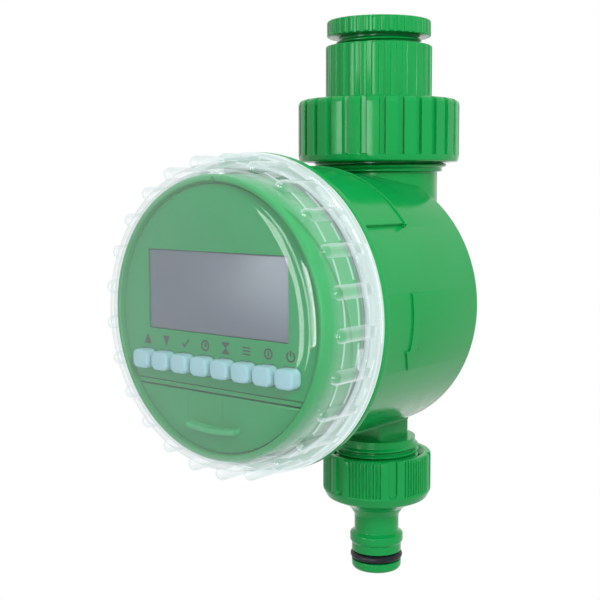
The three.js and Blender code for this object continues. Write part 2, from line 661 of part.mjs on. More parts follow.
function cover() {
  const { front, radius, bore, flange, back } = COVER;
  const shell = turnedY([
    [0, front], ...shoulder(radius, 8.4, 7.5), [radius + 0.5, -60.3],
    [flange, -60.3], [flange, back], [bore + 0.6, back], ...shoulder(bore, 4.6, 6).reverse(), [0, -76.5],
  ]);
  const bars = Array.from({ length: GRIP_RIBS.count }, (_, i) => {
    const centre = polar(radius + 0.6, GRIP_RIBS.first - (360 * i) / GRIP_RIBS.count);
    return rodY(GRIP_RIBS.radius, GRIP_RIBS.front, GRIP_RIBS.back, centre, 6);
  });
  const lugTurn = 3; // degrees past the ridge's rear end when the cover is closed
  const lugBack = COVER_THREAD.back + COVER_THREAD.width + 0.4 - (COVER_THREAD.lead * lugTurn) / 360;
  const lugs = coverStarts().map((start) => coverRidge(
    COVER_THREAD.lug, bore + 1, lugBack, start + lugTurn, COVER_THREAD_SWEEP.lug, 3));
  return union(shell, ...bars, ...lugs);
}

// ---- battery drawer -------------------------------------------------------------------------

function batteryTray() {
  const { radius, top, wall } = TRAY;
  const box = TRAY_BOX;
  const { front } = PANEL;
  const plate = prismY(segmentOutline(radius, top), front - 0.1, front + 1.6);
  const walls = prismY(segmentOutline(box.radius, box.top, box.halfWidth), front + 1, box.back);
  const inside = segmentOutline(box.radius - wall, box.top + 5, box.halfWidth - wall);
  const hollow = prismY(inside, front + 1.6, box.back - wall);
  return union(cut(union(plate, walls), hollow), fingerLedge());
}

// A short curved ledge to pull the drawer by, lower in its middle.
function fingerLedge() {
  const ledge = { half: 9, thickness: 1.3, top: -28.2, sag: 0.8, front: -75 };
  const steps = 6;
  const upper = [];
  const lower = [];
  for (let i = 0; i <= steps; i++) {
    const x = ledge.half * (1 - (2 * i) / steps);
    const z = ledge.top - ledge.sag * (1 - (x / ledge.half) ** 2);
    upper.push([x, z]);
    lower.unshift([x, z - ledge.thickness]);
  }
  return prismY([...upper, ...lower], ledge.front, PANEL.front + 0.5);
}

function batteryCell(side) {
  const { radius, length, front } = CELL;
  const [tip, end] = side > 0 ? [front, front + length] : [front + length, front];
  const inward = side;
  const outline = [
    [0, tip], [2.6, tip], [2.6, tip + inward], [radius, tip + inward], [radius, end], [0, end],
  ];
  return turnedY(outline, 20, [side * CELL.x, CELL.z]);
}

// The strip behind the drawer's front that joins the two cells.
const contactBridge = () =>
  prismY(chamferedRectangle(18, 7, 1, [0, CELL.z]), CELL.front - 1.1, CELL.front - GAP);

// The tab at one cell's rear end.
function contactTab(side) {
  const rear = CELL.front + CELL.length;
  return prismY(chamferedRectangle(8, 7, 1, [side * CELL.x, CELL.z]), rear + GAP, rear + 0.9);
}

// ---- the assembly ---------------------------------------------------------------------------

const assembly = new THREE.Group();
assembly.position.z = -OVERALL_HEIGHT;

function place(name, solid, colour) {
  const mesh = solid.getMesh();
  const geometry = new THREE.BufferGeometry();
  geometry.setAttribute('position', new THREE.BufferAttribute(Float32Array.from(mesh.vertProperties), 3));
  geometry.setIndex(new THREE.BufferAttribute(Uint32Array.from(mesh.triVerts), 1));
  const flat = geometry.toNonIndexed();
  flat.computeVertexNormals();
  const [hex, roughness, metalness] = COLOURS[colour];
  const placed = new THREE.Mesh(flat, new THREE.MeshStandardMaterial({ color: hex, roughness, metalness }));
  placed.name = name;
  assembly.add(placed);
}

place('housing', housing(), 'green');
place('valve_body', valveBody(), 'green');
place('filter_screen', filterScreen(), 'nylon');
place('upper_seat', valveSeat(1), 'seat');
place('lower_seat', valveSeat(-1), 'seat');
place('seat_retainer', seatRetainer(), 'nylon');
place('stem_seal', stemSeal(), 'rubber');
place('valve_ball', valveBall(), 'chrome');
place('valve_stem', valveStem(), 'steel');
place('output_gear', outputGear(), 'nylon');
place('idler_gear', idlerGear(), 'nylon');
place('idler_pin', rodY(1.5, -34.2, -20, IDLER_CENTRE), 'steel');
place('motor_pinion', motorPinion(), 'brass');
place('valve_motor', valveMotor(), 'steel');
place('gearbox_plate', gearboxPlate(), 'nylon');
gearPosts().forEach((centre, i) =>
  place(`gearbox_screw_${i + 1}`, screw(centre, 3, 0.9, PLATE.front - 1.9, PLATE.front - GAP, -24), 'steel'));

place('tap_reducer', tapReducer(), 'green');
place('reducer_washer', ringZ(9.7, 6, TAP_SOCKET.floor + GAP, TAP_SOCKET.floor + 2.35, 24), 'rubber');
place('tap_sleeve', tapSleeve(), 'green');
place('inlet_nut', inletNut(), 'green');
place('inlet_washer', ringZ(19, 12.4, INLET_THREAD.top + 0.85, SLEEVE_FLANGE.bottom - GAP, 24), 'rubber');
place('outlet_connector', outletConnector(), 'green');
place('outlet_washer', ringZ(13, 6, CONNECTOR.bottom + 2.45, OUTLET_END - GAP, 24), 'rubber');
place('nipple_o_ring', nippleRing(), 'rubber');

place('control_head', controlHead(), 'panelGreen');
place('head_seal', ringY(37.7, 36.5, BEZEL.back + GAP, RIM.front - GAP, 32), 'silicone');
PILLAR.angles.forEach((degrees, i) =>
  place(`rear_screw_${i + 1}`, screw(polar(PILLAR.orbit, degrees), 3.1, 1.5, -4, -5.65, -22), 'steel'));
place('lcd_window', prismY(screenOutline(0), -72.5, -71.2), 'screen');
place('lcd_module', prismY(screenOutline(4), -70.4, -67.6), 'display');
place('circuit_board', circuitBoard(), 'board');
boardBosses.forEach((centre, i) =>
  place(`board_screw_${i + 1}`, screw(centre, 2, 0.85, BOARD.back + 1.3, BOARD.back + GAP, -69), 'steel'));
KEY_NAMES.forEach((name, i) => place(`key_${name}`, key(i), 'key'));

place('cover', cover(), 'clear');
place('cover_gasket', ringY(39.85, 39, -58.6, -57.6, 32), 'silicone');
place('battery_tray', batteryTray(), 'panelGreen');
place('battery_cell_1', batteryCell(1), 'cell');
place('battery_cell_2', batteryCell(-1), 'cell');
place('contact_bridge', contactBridge(), 'brass');
place('contact_tab_1', contactTab(1), 'brass');
place('contact_tab_2', contactTab(-1), 'brass');

export default assembly;
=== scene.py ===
import math
from types import SimpleNamespace as Sizes

import bmesh
import bpy
import numpy as np
from mathutils import Matrix, Vector


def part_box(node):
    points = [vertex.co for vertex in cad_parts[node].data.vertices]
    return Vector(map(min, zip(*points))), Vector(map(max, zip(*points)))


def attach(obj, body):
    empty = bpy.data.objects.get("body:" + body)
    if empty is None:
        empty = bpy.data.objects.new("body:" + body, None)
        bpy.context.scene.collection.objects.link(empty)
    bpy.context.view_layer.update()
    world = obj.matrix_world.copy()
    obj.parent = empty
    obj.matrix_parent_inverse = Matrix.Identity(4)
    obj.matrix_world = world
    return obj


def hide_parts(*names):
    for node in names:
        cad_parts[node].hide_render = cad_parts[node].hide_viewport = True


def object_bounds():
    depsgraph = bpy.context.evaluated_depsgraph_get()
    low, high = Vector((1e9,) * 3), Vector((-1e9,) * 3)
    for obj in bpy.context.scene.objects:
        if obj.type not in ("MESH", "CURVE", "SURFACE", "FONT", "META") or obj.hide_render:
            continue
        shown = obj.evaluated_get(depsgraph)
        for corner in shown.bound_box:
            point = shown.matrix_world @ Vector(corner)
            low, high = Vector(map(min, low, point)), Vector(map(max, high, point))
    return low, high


# Looks of the drip irrigation timer. Shapes are worked out in millimetres: X and Y as in the frame,
# heights (h) measured up from the nipple's end, and places on the control head measured from its axis.

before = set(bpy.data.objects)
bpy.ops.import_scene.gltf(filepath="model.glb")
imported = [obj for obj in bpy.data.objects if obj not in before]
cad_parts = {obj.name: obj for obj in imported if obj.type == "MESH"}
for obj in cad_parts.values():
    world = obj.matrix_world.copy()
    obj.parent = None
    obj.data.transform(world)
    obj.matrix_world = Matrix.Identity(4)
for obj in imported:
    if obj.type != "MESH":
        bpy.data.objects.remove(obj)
CAD_LOW, CAD_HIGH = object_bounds()
MM = 0.001
FOOT = CAD_LOW.z


def height_of(z):
    return (z - FOOT) / MM


def upright(node):
    """The radius and the two heights of a piece turned about the water axis."""
    low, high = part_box(node)
    return {"radius": (high.x - low.x) / 2 / MM, "bottom": height_of(low.z), "top": height_of(high.z)}


def front_of(node):
    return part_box(node)[0].y / MM


def back_of(node):
    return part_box(node)[1].y / MM


# ---- driving dimensions ----

HEAD = height_of(sum(corner.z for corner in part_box("cover")) / 2)  # the head axis
GAP = 0.35  # clearance between pieces

INLET_THREAD = Sizes(core=19.6, crest=20.9, pitch=2.309)
PIPE_THREAD = Sizes(core=12.1, crest=13.2, pitch=1.814)

NUT = Sizes(**upright("inlet_nut"), count=28, width=1.7, depth=1.15)
TAIL = Sizes(**upright("tap_sleeve"), thickness=3.2, neck=15)
SLEEVE = Sizes(radius=16.3, bottom=NUT.top + GAP, count=28, width=1.7, depth=0.35)
REDUCER = Sizes(**upright("tap_reducer"), ring=4.8, shank=13.4, count=40, width=1.0, depth=0.42)
TOP = REDUCER.top
TAP_SOCKET = Sizes(radius=10.1, floor=TOP - 12, outflow=7)

COLUMN = Sizes(neck=18.2, neck_bottom=100, shoulder=126.2, top=135.5, end=30.6, collar=43.3,
               waist=7.2, flare=[(7.2, 56, 0), (13.8, 72, 6), (14.6, 84, 6)], facets=16)
WATER_WAY = Sizes(mouth=6.2, bore=5.5, chamber=10.1, floor=HEAD - 10.75, ceiling=HEAD + 17,
                  inlet=12, recess=14.1, recess_floor=133)
DRUM = Sizes(radius=38.8, wall=2.5, back=-3.6, front=-54.8, recess=0.5, hollow=36.3)
RIM = Sizes(radius=upright("housing")["radius"], front=front_of("housing"))
SADDLE = Sizes(radius=40.0, inner=37, back=-30.7, half_angle=52, lip=0.45)
ARROW = Sizes(y=-36, top=6.5, neck=-9.2, tip=-15, shaft=1.6, head=3.4, height=0.5)
PAD_TOP = 54
PADS = [Sizes(width=18.0, depth=33.4, corner=1.2, middle=-11.5, bottom=48.7, edge=0.3, steps=5),
        Sizes(width=19.2, depth=34.6, corner=1.6, middle=-11.5, bottom=49.7, edge=0.3, steps=5),
        Sizes(width=14.8, depth=14.8, corner=1.3, middle=0, bottom=43.0, edge=0.2, steps=2)]

CONNECTOR = Sizes(radius=17.1, bottom=25.5, top=upright("outlet_connector")["top"])
GRIP = Sizes(zones=6, first_slot=23, slot=(2.6, 0.8), land=12, ribs=10, groove=(0.5, 0.5))
NIPPLE = Sizes(radius=7.9, neck=7.05, collar=8.45, bore=4.9)
O_RING = Sizes(height=4.5, centre=7.1, section=1.2, groove=5.6, half_groove=1.5)

BEZEL = Sizes(radius=38.0, front=-74.1, back=-58.6, bore=34.8)
SOCKET = Sizes(outer=35.9, inner=34.2, back=-50)  # the tube behind the bezel that fits into the drum
PANEL = Sizes(radius=36.0, front=-72.8, back=-70.8, groove=0.25, groove_depth=0.35)
SEAM = Sizes(level=-18.55, end=30.6, half_width=0.2, depth=0.6)
SCREEN = Sizes(width=50.8, height=21.6, centre=(0, 6.65))
KEY = Sizes(width=6.2, height=5.2, pitch=7.5, centre=-12.9, front=front_of("key_set"),
            edge=0.7, corner=1.7, flange=1.0, back=-69.3)
KEYS = ["up", "down", "set", "clock", "time", "program", "on", "off"]
PRINT = Sizes(centre=-7.5, size=2.7, line=0.42, thin=0.34, thickness=0.06, lift=0.005)
SCREW_RING = Sizes(orbit=31.6, angles=[20, 160, -30, 210])

COVER = Sizes(radius=41.0, bore=39.6, flange=43.85, front=front_of("cover"), back=back_of("cover"),
              inner_front=-76.4, shoulder_end=-70.5, steps=(-70.3, -65.0))
COVER_RIBS = Sizes(count=25, first=56.2, radius=1.9, orbit=0.6, tip=-74.1, end=-60.2)
CLOSING = Sizes(lead=60, starts=3, first=100, ridge=38.7, lug=39.0, back=-60, width=1)
DOOR = Sizes(radius=35.8, top=-20.3, front=-72.9, thickness=1.7, seams=(-10.5, 2.6))
LEDGE = Sizes(half=8.7, thickness=1.55, top=-28.2, sag=0.7, reach=2.7)
DRAWER = Sizes(radius=33.8, half_width=13, top=-23, wall=1.2, back=back_of("battery_tray"))
CELL = Sizes(radius=5.25, length=44.5, x=5.7, z=-26.3, front=-69.5)


# ---- outlines ----

def polar(radius, degrees):
    return radius * math.cos(math.radians(degrees)), radius * math.sin(math.radians(degrees))


def rounded(corners, closed=True, steps=5):
    """An outline through (a, b) or (a, b, fillet) corners, each fillet drawn as an arc."""
    outline = []
    count = len(corners)
    for i, corner in enumerate(corners):
        here = Vector(corner[:2])
        fillet = corner[2] if len(corner) > 2 else 0
        if fillet == 0 or (not closed and i in (0, count - 1)):
            outline.append(tuple(here))
            continue
        before = Vector(corners[i - 1][:2]) - here
        after = Vector(corners[(i + 1) % count][:2]) - here
        half = before.angle(after) / 2
        reach = min(fillet / math.tan(half), 0.49 * before.length, 0.49 * after.length)
        radius = reach * math.tan(half)
        centre = here + (before.normalized() + after.normalized()).normalized() * radius / math.sin(half)
        start = here + before.normalized() * reach - centre
        end = here + after.normalized() * reach - centre
        sweep = start.angle_signed(end)
        for k in range(steps + 1):
            turned = Matrix.Rotation(-sweep * k / steps, 2) @ start
            outline.append(tuple(centre + turned))
    return outline


def path(corners, steps=5):
    return rounded(corners, closed=False, steps=steps)


def rounded_rectangle(width, height, corner, centre=(0, 0), steps=5):
    x, y = width / 2, height / 2
    corners = [(x, -y), (x, y), (-x, y), (-x, -y)]
    return rounded([(centre[0] + a, centre[1] + b, corner) for a, b in corners], steps=steps)


def moved(outline, centre):
    return [(centre[0] + a, centre[1] + b) for a, b in outline]


def spun(outline, degrees):
    """An outline turned about its origin."""
    along, across = polar(1, degrees)
    return [(a * along - b * across, a * across + b * along) for a, b in outline]


def circle(radius, steps, centre):
    return moved([polar(radius, 360 * i / steps) for i in range(steps)], centre)


def disc_below(radius, top, half_width=None, steps=60):
    """The part of a disc under a level chord, cut off at a half width if one is given."""
    chord = math.sqrt(radius ** 2 - top ** 2)
    edge = min(half_width or chord, chord)
    start = -math.degrees(math.acos(edge / radius))
    outline = [(-edge, top), (edge, top)] if edge < chord else []
    return outline + [polar(radius, start - i / steps * (180 + 2 * start)) for i in range(steps + 1)]


# ---- meshes ----

def mesh_object(name, points, faces):
    """A closed mesh from points in millimetres and heights above the foot, in the row frame's metres."""
    mesh = bpy.data.meshes.new(name)
    points = np.array(points, float) * MM
    points[:, 2] += FOOT
    mesh.from_pydata(points.tolist(), [], faces)
    tidy = bmesh.new()
    tidy.from_mesh(mesh)
    bmesh.ops.remove_doubles(tidy, verts=tidy.verts, dist=1e-7)
    bmesh.ops.recalc_face_normals(tidy, faces=tidy.faces)
    tidy.to_mesh(mesh)
    tidy.free()
    piece = bpy.data.objects.new(name, mesh)
    bpy.context.scene.collection.objects.link(piece)
    return piece


def even(count):
    return np.arange(count) * 2 * math.pi / count


def lathe(name, profile, angles, relief, to_place):
    """A turned solid. relief(turn, radius, along) gives the new radius, for grooves and threads."""
    radius, along = np.array(profile, float).T
    rows, columns = len(profile), len(angles)
    turn = np.tile(angles, (rows, 1))
    radius = np.tile(radius[:, None], (1, columns))
    along = np.tile(along[:, None], (1, columns))
    if relief:
        radius = relief(turn, radius, along)
    points = to_place(radius * np.cos(turn), radius * np.sin(turn), along)
    solid = profile[0][0] == 0
    faces = []
    for i in range(rows - 1 if solid else rows):
        this, following = i * columns, (i + 1) % rows * columns
        for j in range(columns):
            k = (j + 1) % columns
            faces.append((this + j, this + k, following + k, following + j))
    return mesh_object(name, points.reshape(-1, 3), faces)


def turned_z(name, profile, angles=None, relief=None):
    """A solid turned about the water axis, from (radius, height) points."""
    angles = even(120) if angles is None else angles
    return lathe(name, profile, angles, relief, lambda a, b, along: np.stack([a, b, along], -1))


def turned_y(name, profile, angles=None, relief=None, centre=(0, 0)):
    """A solid turned about the head axis or one parallel to it, from (radius, y) points."""
    angles = even(180) if angles is None else angles
    return lathe(name, profile, angles, relief,
                 lambda a, b, along: np.stack([centre[0] + a, along, HEAD + centre[1] + b], -1))


def loft(name, rings):
    """A solid through equal-length rings of points, closed at its first and last ring."""
    size = len(rings[0])
    points = [point for ring in rings for point in ring]
    faces = [tuple(range(size)), tuple(range(len(points) - size, len(points)))]
    for start in range(0, len(points) - size, size):
        for k in range(size):
            a, b = start + k, start + (k + 1) % size
            faces.append((a, b, b + size, a + size))
    return mesh_object(name, points, faces)


def loft_y(name, sections):
    """A solid through outlines about the head axis, each given as (y, [(x, z), ...])."""
    return loft(name, [[(x, y, HEAD + z) for x, z in outline] for y, outline in sections])


def prism_x(name, outline, low, high):
    """A prism across the head axis from (y, z) points."""
    return loft(name, [[(x, y, HEAD + z) for y, z in outline] for x in (low, high)])


def prism_y(name, outline, front, back):
    """A prism along the head axis from (x, z) points."""
    return loft_y(name, [(front, outline), (back, outline)])


def prism_z(name, outline, bottom, top):
    """A prism along the water axis from (x, y) points."""
    return loft(name, [[(x, y, height) for x, y in outline] for height in (bottom, top)])


def bake(piece):
    """Applies the modifiers of a piece to its mesh."""
    graph = bpy.context.evaluated_depsgraph_get()
    mesh = bpy.data.meshes.new_from_object(piece.evaluated_get(graph))
    piece.modifiers.clear()
    piece.data = mesh
    return piece


def combine(piece, others, operation):
    for other in others:
        modifier = piece.modifiers.new("combine", "BOOLEAN")
        modifier.operation = operation
        modifier.solver = "MANIFOLD"
        modifier.object = other
    bake(piece)
    for other in others:
        bpy.data.objects.remove(other)
    return piece


def join(piece, *others):
    return combine(piece, others, "UNION")


def cut(piece, *others):
    return combine(piece, others, "DIFFERENCE")


def soften(piece, width, segments=2, degrees=40):
    """Rounds the sharp edges of a piece, in millimetres."""
    modifier = piece.modifiers.new("soften", "BEVEL")
    modifier.width = width * MM
    modifier.segments = segments
    modifier.limit_method = "ANGLE"
    modifier.angle_limit = math.radians(degrees)
    modifier.use_clamp_overlap = True
    return bake(piece)


# ---- grooves and threads as relief ----

EDGE = 0.3  # width of a groove's rounded wall


def smooth(share):
    share = np.clip(share, 0, 1)
    return share * share * (3 - 2 * share)


def grooves(count, layout, radius, low, high, round_ends):
    """Relief for `count` repeats of axial grooves; layout lists (degrees, width, depth) in one repeat."""
    period = 2 * math.pi / count

    def relief(turn, at, along):
        for degrees, width, depth in layout:
            away = (turn - math.radians(degrees) + period / 2) % period - period / 2
            beyond = np.minimum(0, along - low - width / 2) if round_ends else 0
            inside = width / 2 - np.hypot(away * radius, beyond)
            ends = smooth((along - low) / EDGE + 0.5) * smooth((high - along) / EDGE + 0.5)
            share = smooth(inside / EDGE + 0.5) * ends
            floor = radius - depth
            at = np.where(at > floor, at - share * (at - floor), at)
        return at
    return relief


def groove_angles(count, layout, radius, lands):
    """Sample angles that follow the walls of the grooves above."""
    period = 360 / count
    wall = [-0.5, -0.25, 0, 0.25, 0.5]
    marks = []
    for degrees, width, _ in layout:
        for side in (-1, 1):
            marks += [degrees + side * math.degrees((width / 2 + EDGE * w) / radius) for w in wall]
        marks.append(degrees)
    marks = sorted(mark % period for mark in marks)
    spread = []
    for here, following in zip(marks, marks[1:] + [marks[0] + period]):
        spread += [here + (following - here) * k / lands for k in range(lands)]
    spread = sorted(set(round(mark, 5) for mark in spread))
    return np.radians([mark + period * i for i in range(count) for mark in spread])


def fluting(ring, low, high, lands=3, round_ends=False):
    """Sample angles and relief for the even grooves round a ring."""
    layout = [(0, ring.width, ring.depth)]
    relief = grooves(ring.count, layout, ring.radius, low, high, round_ends)
    return groove_angles(ring.count, layout, ring.radius, lands), relief


def thread(core, crest, pitch, low, high):
    """Relief for a right-hand thread on the stretch of a profile that lies on its core."""
    def relief(turn, at, along):
        phase = (along / pitch - turn / (2 * math.pi)) % 1
        ridge = smooth((0.4 - np.abs(phase - 0.5)) / 0.3)
        fade = smooth((along - low) / pitch + 0.3) * smooth((high - along) / pitch + 0.3)
        on_core = (np.abs(at - core) < 0.01) & (along > low) & (along < high)
        return np.where(on_core, at + (crest - core) * ridge * fade, at)
    return relief


def ladder(radius, low, high, step=0.14):
    """Profile points up a straight wall, close enough together to carry a thread or a groove's end."""
    count = max(2, round(abs(high - low) / step))
    return [(radius, low + (high - low) * i / count) for i in range(count + 1)]


# ---- materials ----

def linear(red, green, blue):
    """sRGB 0-255 as linear RGBA."""
    def channel(value):
        value /= 255
        return value / 12.92 if value <= 0.04045 else ((value + 0.055) / 1.055) ** 2.4
    return channel(red), channel(green), channel(blue), 1


class Finish:
    """A node material built up around one Principled shader, with patterns in object space."""

    def __init__(self, name, colour, roughness, **inputs):
        self.material = bpy.data.materials.new(name)
        self.material.use_nodes = True
        self.nodes = self.material.node_tree.nodes
        self.links = self.material.node_tree.links
        self.shader = self.nodes["Principled BSDF"]
        self.set(self.shader, **{"Base Color": colour, "Roughness": roughness, "IOR": 1.5, **inputs})
        self.colour = colour
        self.roughness = roughness
        self.place = self.add("ShaderNodeTexCoord").outputs["Object"]

    def add(self, kind, **values):
        node = self.nodes.new(kind)
        self.set(node, **values)
        return node

    @staticmethod
    def set(node, **values):
        for key, value in values.items():
            node.inputs[key].default_value = value

    def noise(self, per_mm, detail, stretch=(1, 1, 1)):
        """A noise value from 0 to 1 with the given number of features per millimetre."""
        mapping = self.add("ShaderNodeMapping", Scale=stretch)
        self.links.new(self.place, mapping.inputs["Vector"])
        noise = self.add("ShaderNodeTexNoise", Scale=per_mm / MM, Detail=detail)
        self.links.new(mapping.outputs["Vector"], noise.inputs["Vector"])
        return noise.outputs["Fac"]

    def patches(self, low, high, *noise):
        """Noise with its middle part spread over the range low-high."""
        limits = {"From Min": 0.3, "From Max": 0.7, "To Min": low, "To Max": high}
        spread = self.add("ShaderNodeMapRange", **limits)
        self.links.new(self.noise(*noise), spread.inputs["Value"])
        return spread.outputs["Result"]

    def vary_colour(self, per_mm, detail, share, other):
        """Patches where up to `share` of the base colour gives way to another one."""
        mix = self.add("ShaderNodeMix")
        mix.data_type = "RGBA"
        base, blend = [socket for socket in mix.inputs if socket.type == "RGBA"]
        base.default_value = self.colour
        blend.default_value = linear(*other)
        self.links.new(self.patches(0, share, per_mm, detail), mix.inputs["Factor"])
        output = next(socket for socket in mix.outputs if socket.type == "RGBA")
        self.links.new(output, self.shader.inputs["Base Color"])

    def vary_roughness(self, per_mm, detail, spread, *stretch):
        value = self.patches(self.roughness - spread, self.roughness + spread, per_mm, detail, *stretch)
        self.links.new(value, self.shader.inputs["Roughness"])

    def bump(self, layers, edge=0.0):
        """Stacks (per_mm, detail, height in mm) bump layers, over edges rounded by `edge` millimetres."""
        normal = None
        if edge:
            bevel = self.add("ShaderNodeBevel", Radius=edge * MM)
            bevel.samples = 4
            normal = bevel.outputs["Normal"]
        for per_mm, detail, height, *stretch in layers:
            bump = self.add("ShaderNodeBump", Distance=height * MM, Strength=1.0)
            self.links.new(self.noise(per_mm, detail, *stretch), bump.inputs["Height"])
            if normal:
                self.links.new(normal, bump.inputs["Normal"])
            normal = bump.outputs["Normal"]
        self.links.new(normal, self.shader.inputs["Normal"])


def surface(name, colour, roughness, clouds=(), patches=(), layers=(), edge=0.0, **inputs):
    """An opaque finish with clouds of another colour, patches of gloss and bumps where it has them."""
    finish = Finish(name, linear(*colour), roughness, **inputs)
    if clouds:
        finish.vary_colour(*clouds)
    if patches:
        finish.vary_roughness(*patches)
    if layers:
        finish.bump(layers, edge)
    return finish.material


def moulded_plastic(name, colour, pale, roughness, grain):
    """Injection-moulded plastic: faint cloudiness, an orange-peel surface and softened edges."""
    return surface(name, colour, roughness, clouds=(0.045, 4, 0.35, pale), patches=(0.25, 4, 0.05),
                   layers=[(0.2, 2, 0.015), (2.4, 2, grain)], edge=0.12, **{"Specular IOR Level": 0.2})


def clear_plastic(name, milk_and_glow, gloss):
    """Clear polycarbonate: see-through face on, white where it is seen edge on, from reflections and from
    a painted glow.

    `milk_and_glow` is the share of a milky shader with a painted white glow, at a glance and face on;
    `gloss` how fast its reflections build up.
    """
    # The emission paints a white glow that stands in for the bright surroundings seen through the
    # plastic; it shows wherever the milky shader is mixed in.
    finish = Finish(name, linear(96, 102, 104), 0.05,
                    **{"Emission Color": linear(238, 250, 253), "Emission Strength": 0.9})
    finish.bump([(0.16, 2, 0.06)])
    glance = finish.add("ShaderNodeLayerWeight", Blend=0.5).outputs["Facing"]

    def build_up(power, low, high):
        curve = finish.add("ShaderNodeMath")
        curve.operation = "POWER"
        finish.links.new(glance, curve.inputs[0])
        curve.inputs[1].default_value = power
        share = finish.add("ShaderNodeMapRange", **{"To Min": low, "To Max": high})
        finish.links.new(curve.outputs[0], share.inputs["Value"])
        return share.outputs["Result"]

    def blend(share, first, second):
        mix = finish.add("ShaderNodeMixShader")
        finish.links.new(share, mix.inputs["Fac"])
        finish.links.new(first.outputs[0], mix.inputs[1])
        finish.links.new(second.outputs[0], mix.inputs[2])
        return mix

    window = finish.add("ShaderNodeBsdfTransparent", Color=(0.97, 0.99, 0.99, 1))
    mirror = finish.add("ShaderNodeBsdfAnisotropic", Roughness=0.04)
    face_on = 0.035  # the share of reflections on a surface seen face on
    # Face on mostly see-through, edge on mostly the milky shader with its painted glow.
    body = blend(build_up(2.0, *milk_and_glow), window, finish.shader)
    whole = blend(build_up(gloss, face_on, 1.0), body, mirror)
    finish.links.new(whole.outputs[0], finish.nodes["Material Output"].inputs["Surface"])
    return finish.material


def key_silicone():
    """Soft keys that let a little light through, bluer in depth."""
    scatter = {"Subsurface Weight": 0.3, "Subsurface Scale": 0.8 * MM,
               "Subsurface Radius": (0.7, 0.9, 1.0)}
    return surface("pale_blue_key_silicone", (184, 226, 236), 0.48, clouds=(0.3, 3, 0.5, (176, 219, 230)),
                   patches=(1.5, 2, 0.06), layers=[(2.5, 3, 0.012)], edge=0.2, IOR=1.42, **scatter)


def metal(name, colour, roughness):
    """Machined or plated metal with fine tool marks."""
    streaks = (1, 1, 0.06)
    return surface(name, colour, roughness, patches=(3.0, 4, 0.1, streaks),
                   layers=[(6.0, 3, 0.004, streaks), (0.4, 2, 0.01)], edge=0.1, Metallic=1.0)


FINISHES = {
    "body_green": moulded_plastic("green_housing_plastic", (8, 148, 68), (24, 158, 82), 0.17, 0.0012),
    "panel_green": moulded_plastic("green_panel_plastic", (22, 160, 88), (36, 167, 97), 0.4, 0.004),
    # A lighter, glossier copy of the panel green for the bezel: the gloss is the rim's own finish, the
    # lighter colour is painted light that makes up for the shade under the clear cover.
    "bezel_green_brightened": moulded_plastic("green_bezel_plastic_brightened", (26, 168, 88), (40, 174, 98), 0.2, 0.002),
    # A lighter copy of the panel green for the front of the finger ledge: painted light where the
    # protruding ledge catches the light.
    "ledge_green_lit": moulded_plastic("green_ledge_plastic_lit", (58, 188, 116), (70, 192, 122), 0.4, 0.004),
    # The clear finishes differ in how much painted glow they show: least on the face and skirt, most on
    # the ribs' outlines and on the flange.
    "clear_cover": clear_plastic("clear_cover_plastic", (0.0, 0.25), 4.0),
    "cover_skirt": clear_plastic("clear_cover_skirt_plastic", (0.03, 0.2), 4.0),
    "cover_rib": clear_plastic("clear_cover_rib_plastic", (0.03, 0.95), 3.0),
    "cover_flange": clear_plastic("clear_cover_flange_plastic", (0.42, 0.9), 3.0),
    "silicone": surface("clear_seal_silicone", (214, 226, 228), 0.42, patches=(0.8, 3, 0.08),
                        layers=[(1.5, 3, 0.02)], **{"Transmission Weight": 0.35}),
    "key_silicone": key_silicone(),
    "rubber": surface("black_seal_rubber", (17, 17, 26), 0.42, clouds=(0.8, 4, 0.6, (32, 32, 44)),
                      patches=(1.2, 3, 0.12), layers=[(2.2, 4, 0.015)], **{"Specular IOR Level": 0.25}),
    "nylon": surface("natural_nylon", (228, 222, 204), 0.42, clouds=(0.2, 3, 0.5, (216, 209, 186)),
                     layers=[(1.6, 3, 0.012)], edge=0.12,
                     **{"Subsurface Weight": 0.2, "Subsurface Scale": 1.0 * MM}),
    "seat_plastic": surface("white_seat_plastic", (238, 238, 232), 0.34, patches=(0.6, 3, 0.08),
                            layers=[(1.1, 3, 0.01)], edge=0.1),
    "chrome": metal("chromed_ball", (222, 224, 228), 0.14),
    "steel": metal("zinc_plated_steel", (186, 190, 196), 0.3),
    "brass": metal("brass", (205, 168, 96), 0.32),
    "display_window": surface("display_window_acrylic", (108, 112, 128), 0.34, patches=(0.1, 3, 0.01),
                              clouds=(0.03, 2, 0.8, (122, 125, 139))),
    "display_glass": surface("display_glass", (120, 124, 118), 0.2, clouds=(0.05, 2, 1, (132, 134, 130))),
    "board_green": surface("circuit_board_laminate", (22, 92, 48), 0.35, layers=[(1.8, 2, 0.03)],
                           clouds=(0.9, 2, 1, (30, 108, 58)), **{"Coat Weight": 0.4}),
    "cell_wrap": surface("battery_sleeve", (36, 40, 48), 0.22, patches=(0.5, 3, 0.06),
                         layers=[(0.5, 2, 0.02)], **{"Coat Weight": 0.5}),
    "ink": surface("panel_ink", (6, 22, 18), 0.6, clouds=(2.5, 3, 0.6, (12, 32, 26)),
                   layers=[(4, 2, 0.004)]),
}


def settle(piece, body, finish, nodes=(), sharp=32):
    """Gives a finished piece its material and shading, and hangs it on its CAD body."""
    piece.data.materials.clear()
    piece.data.materials.append(FINISHES[finish])
    piece.data.shade_smooth()
    piece.data.set_sharp_from_angle(angle=math.radians(sharp))
    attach(piece, body)
    if nodes:
        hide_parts(*nodes)
    return piece


def repaint(piece, finish, chosen):
    """Gives a second finish to the faces whose centre (x, y, z about the head axis) is chosen."""
    piece.data.materials.append(FINISHES[finish])
    slot = len(piece.data.materials) - 1
    for face in piece.data.polygons:
        if chosen(face.center.x / MM, face.center.y / MM, height_of(face.center.z) - HEAD):
            face.material_index = slot


# ---- inlet pieces ----

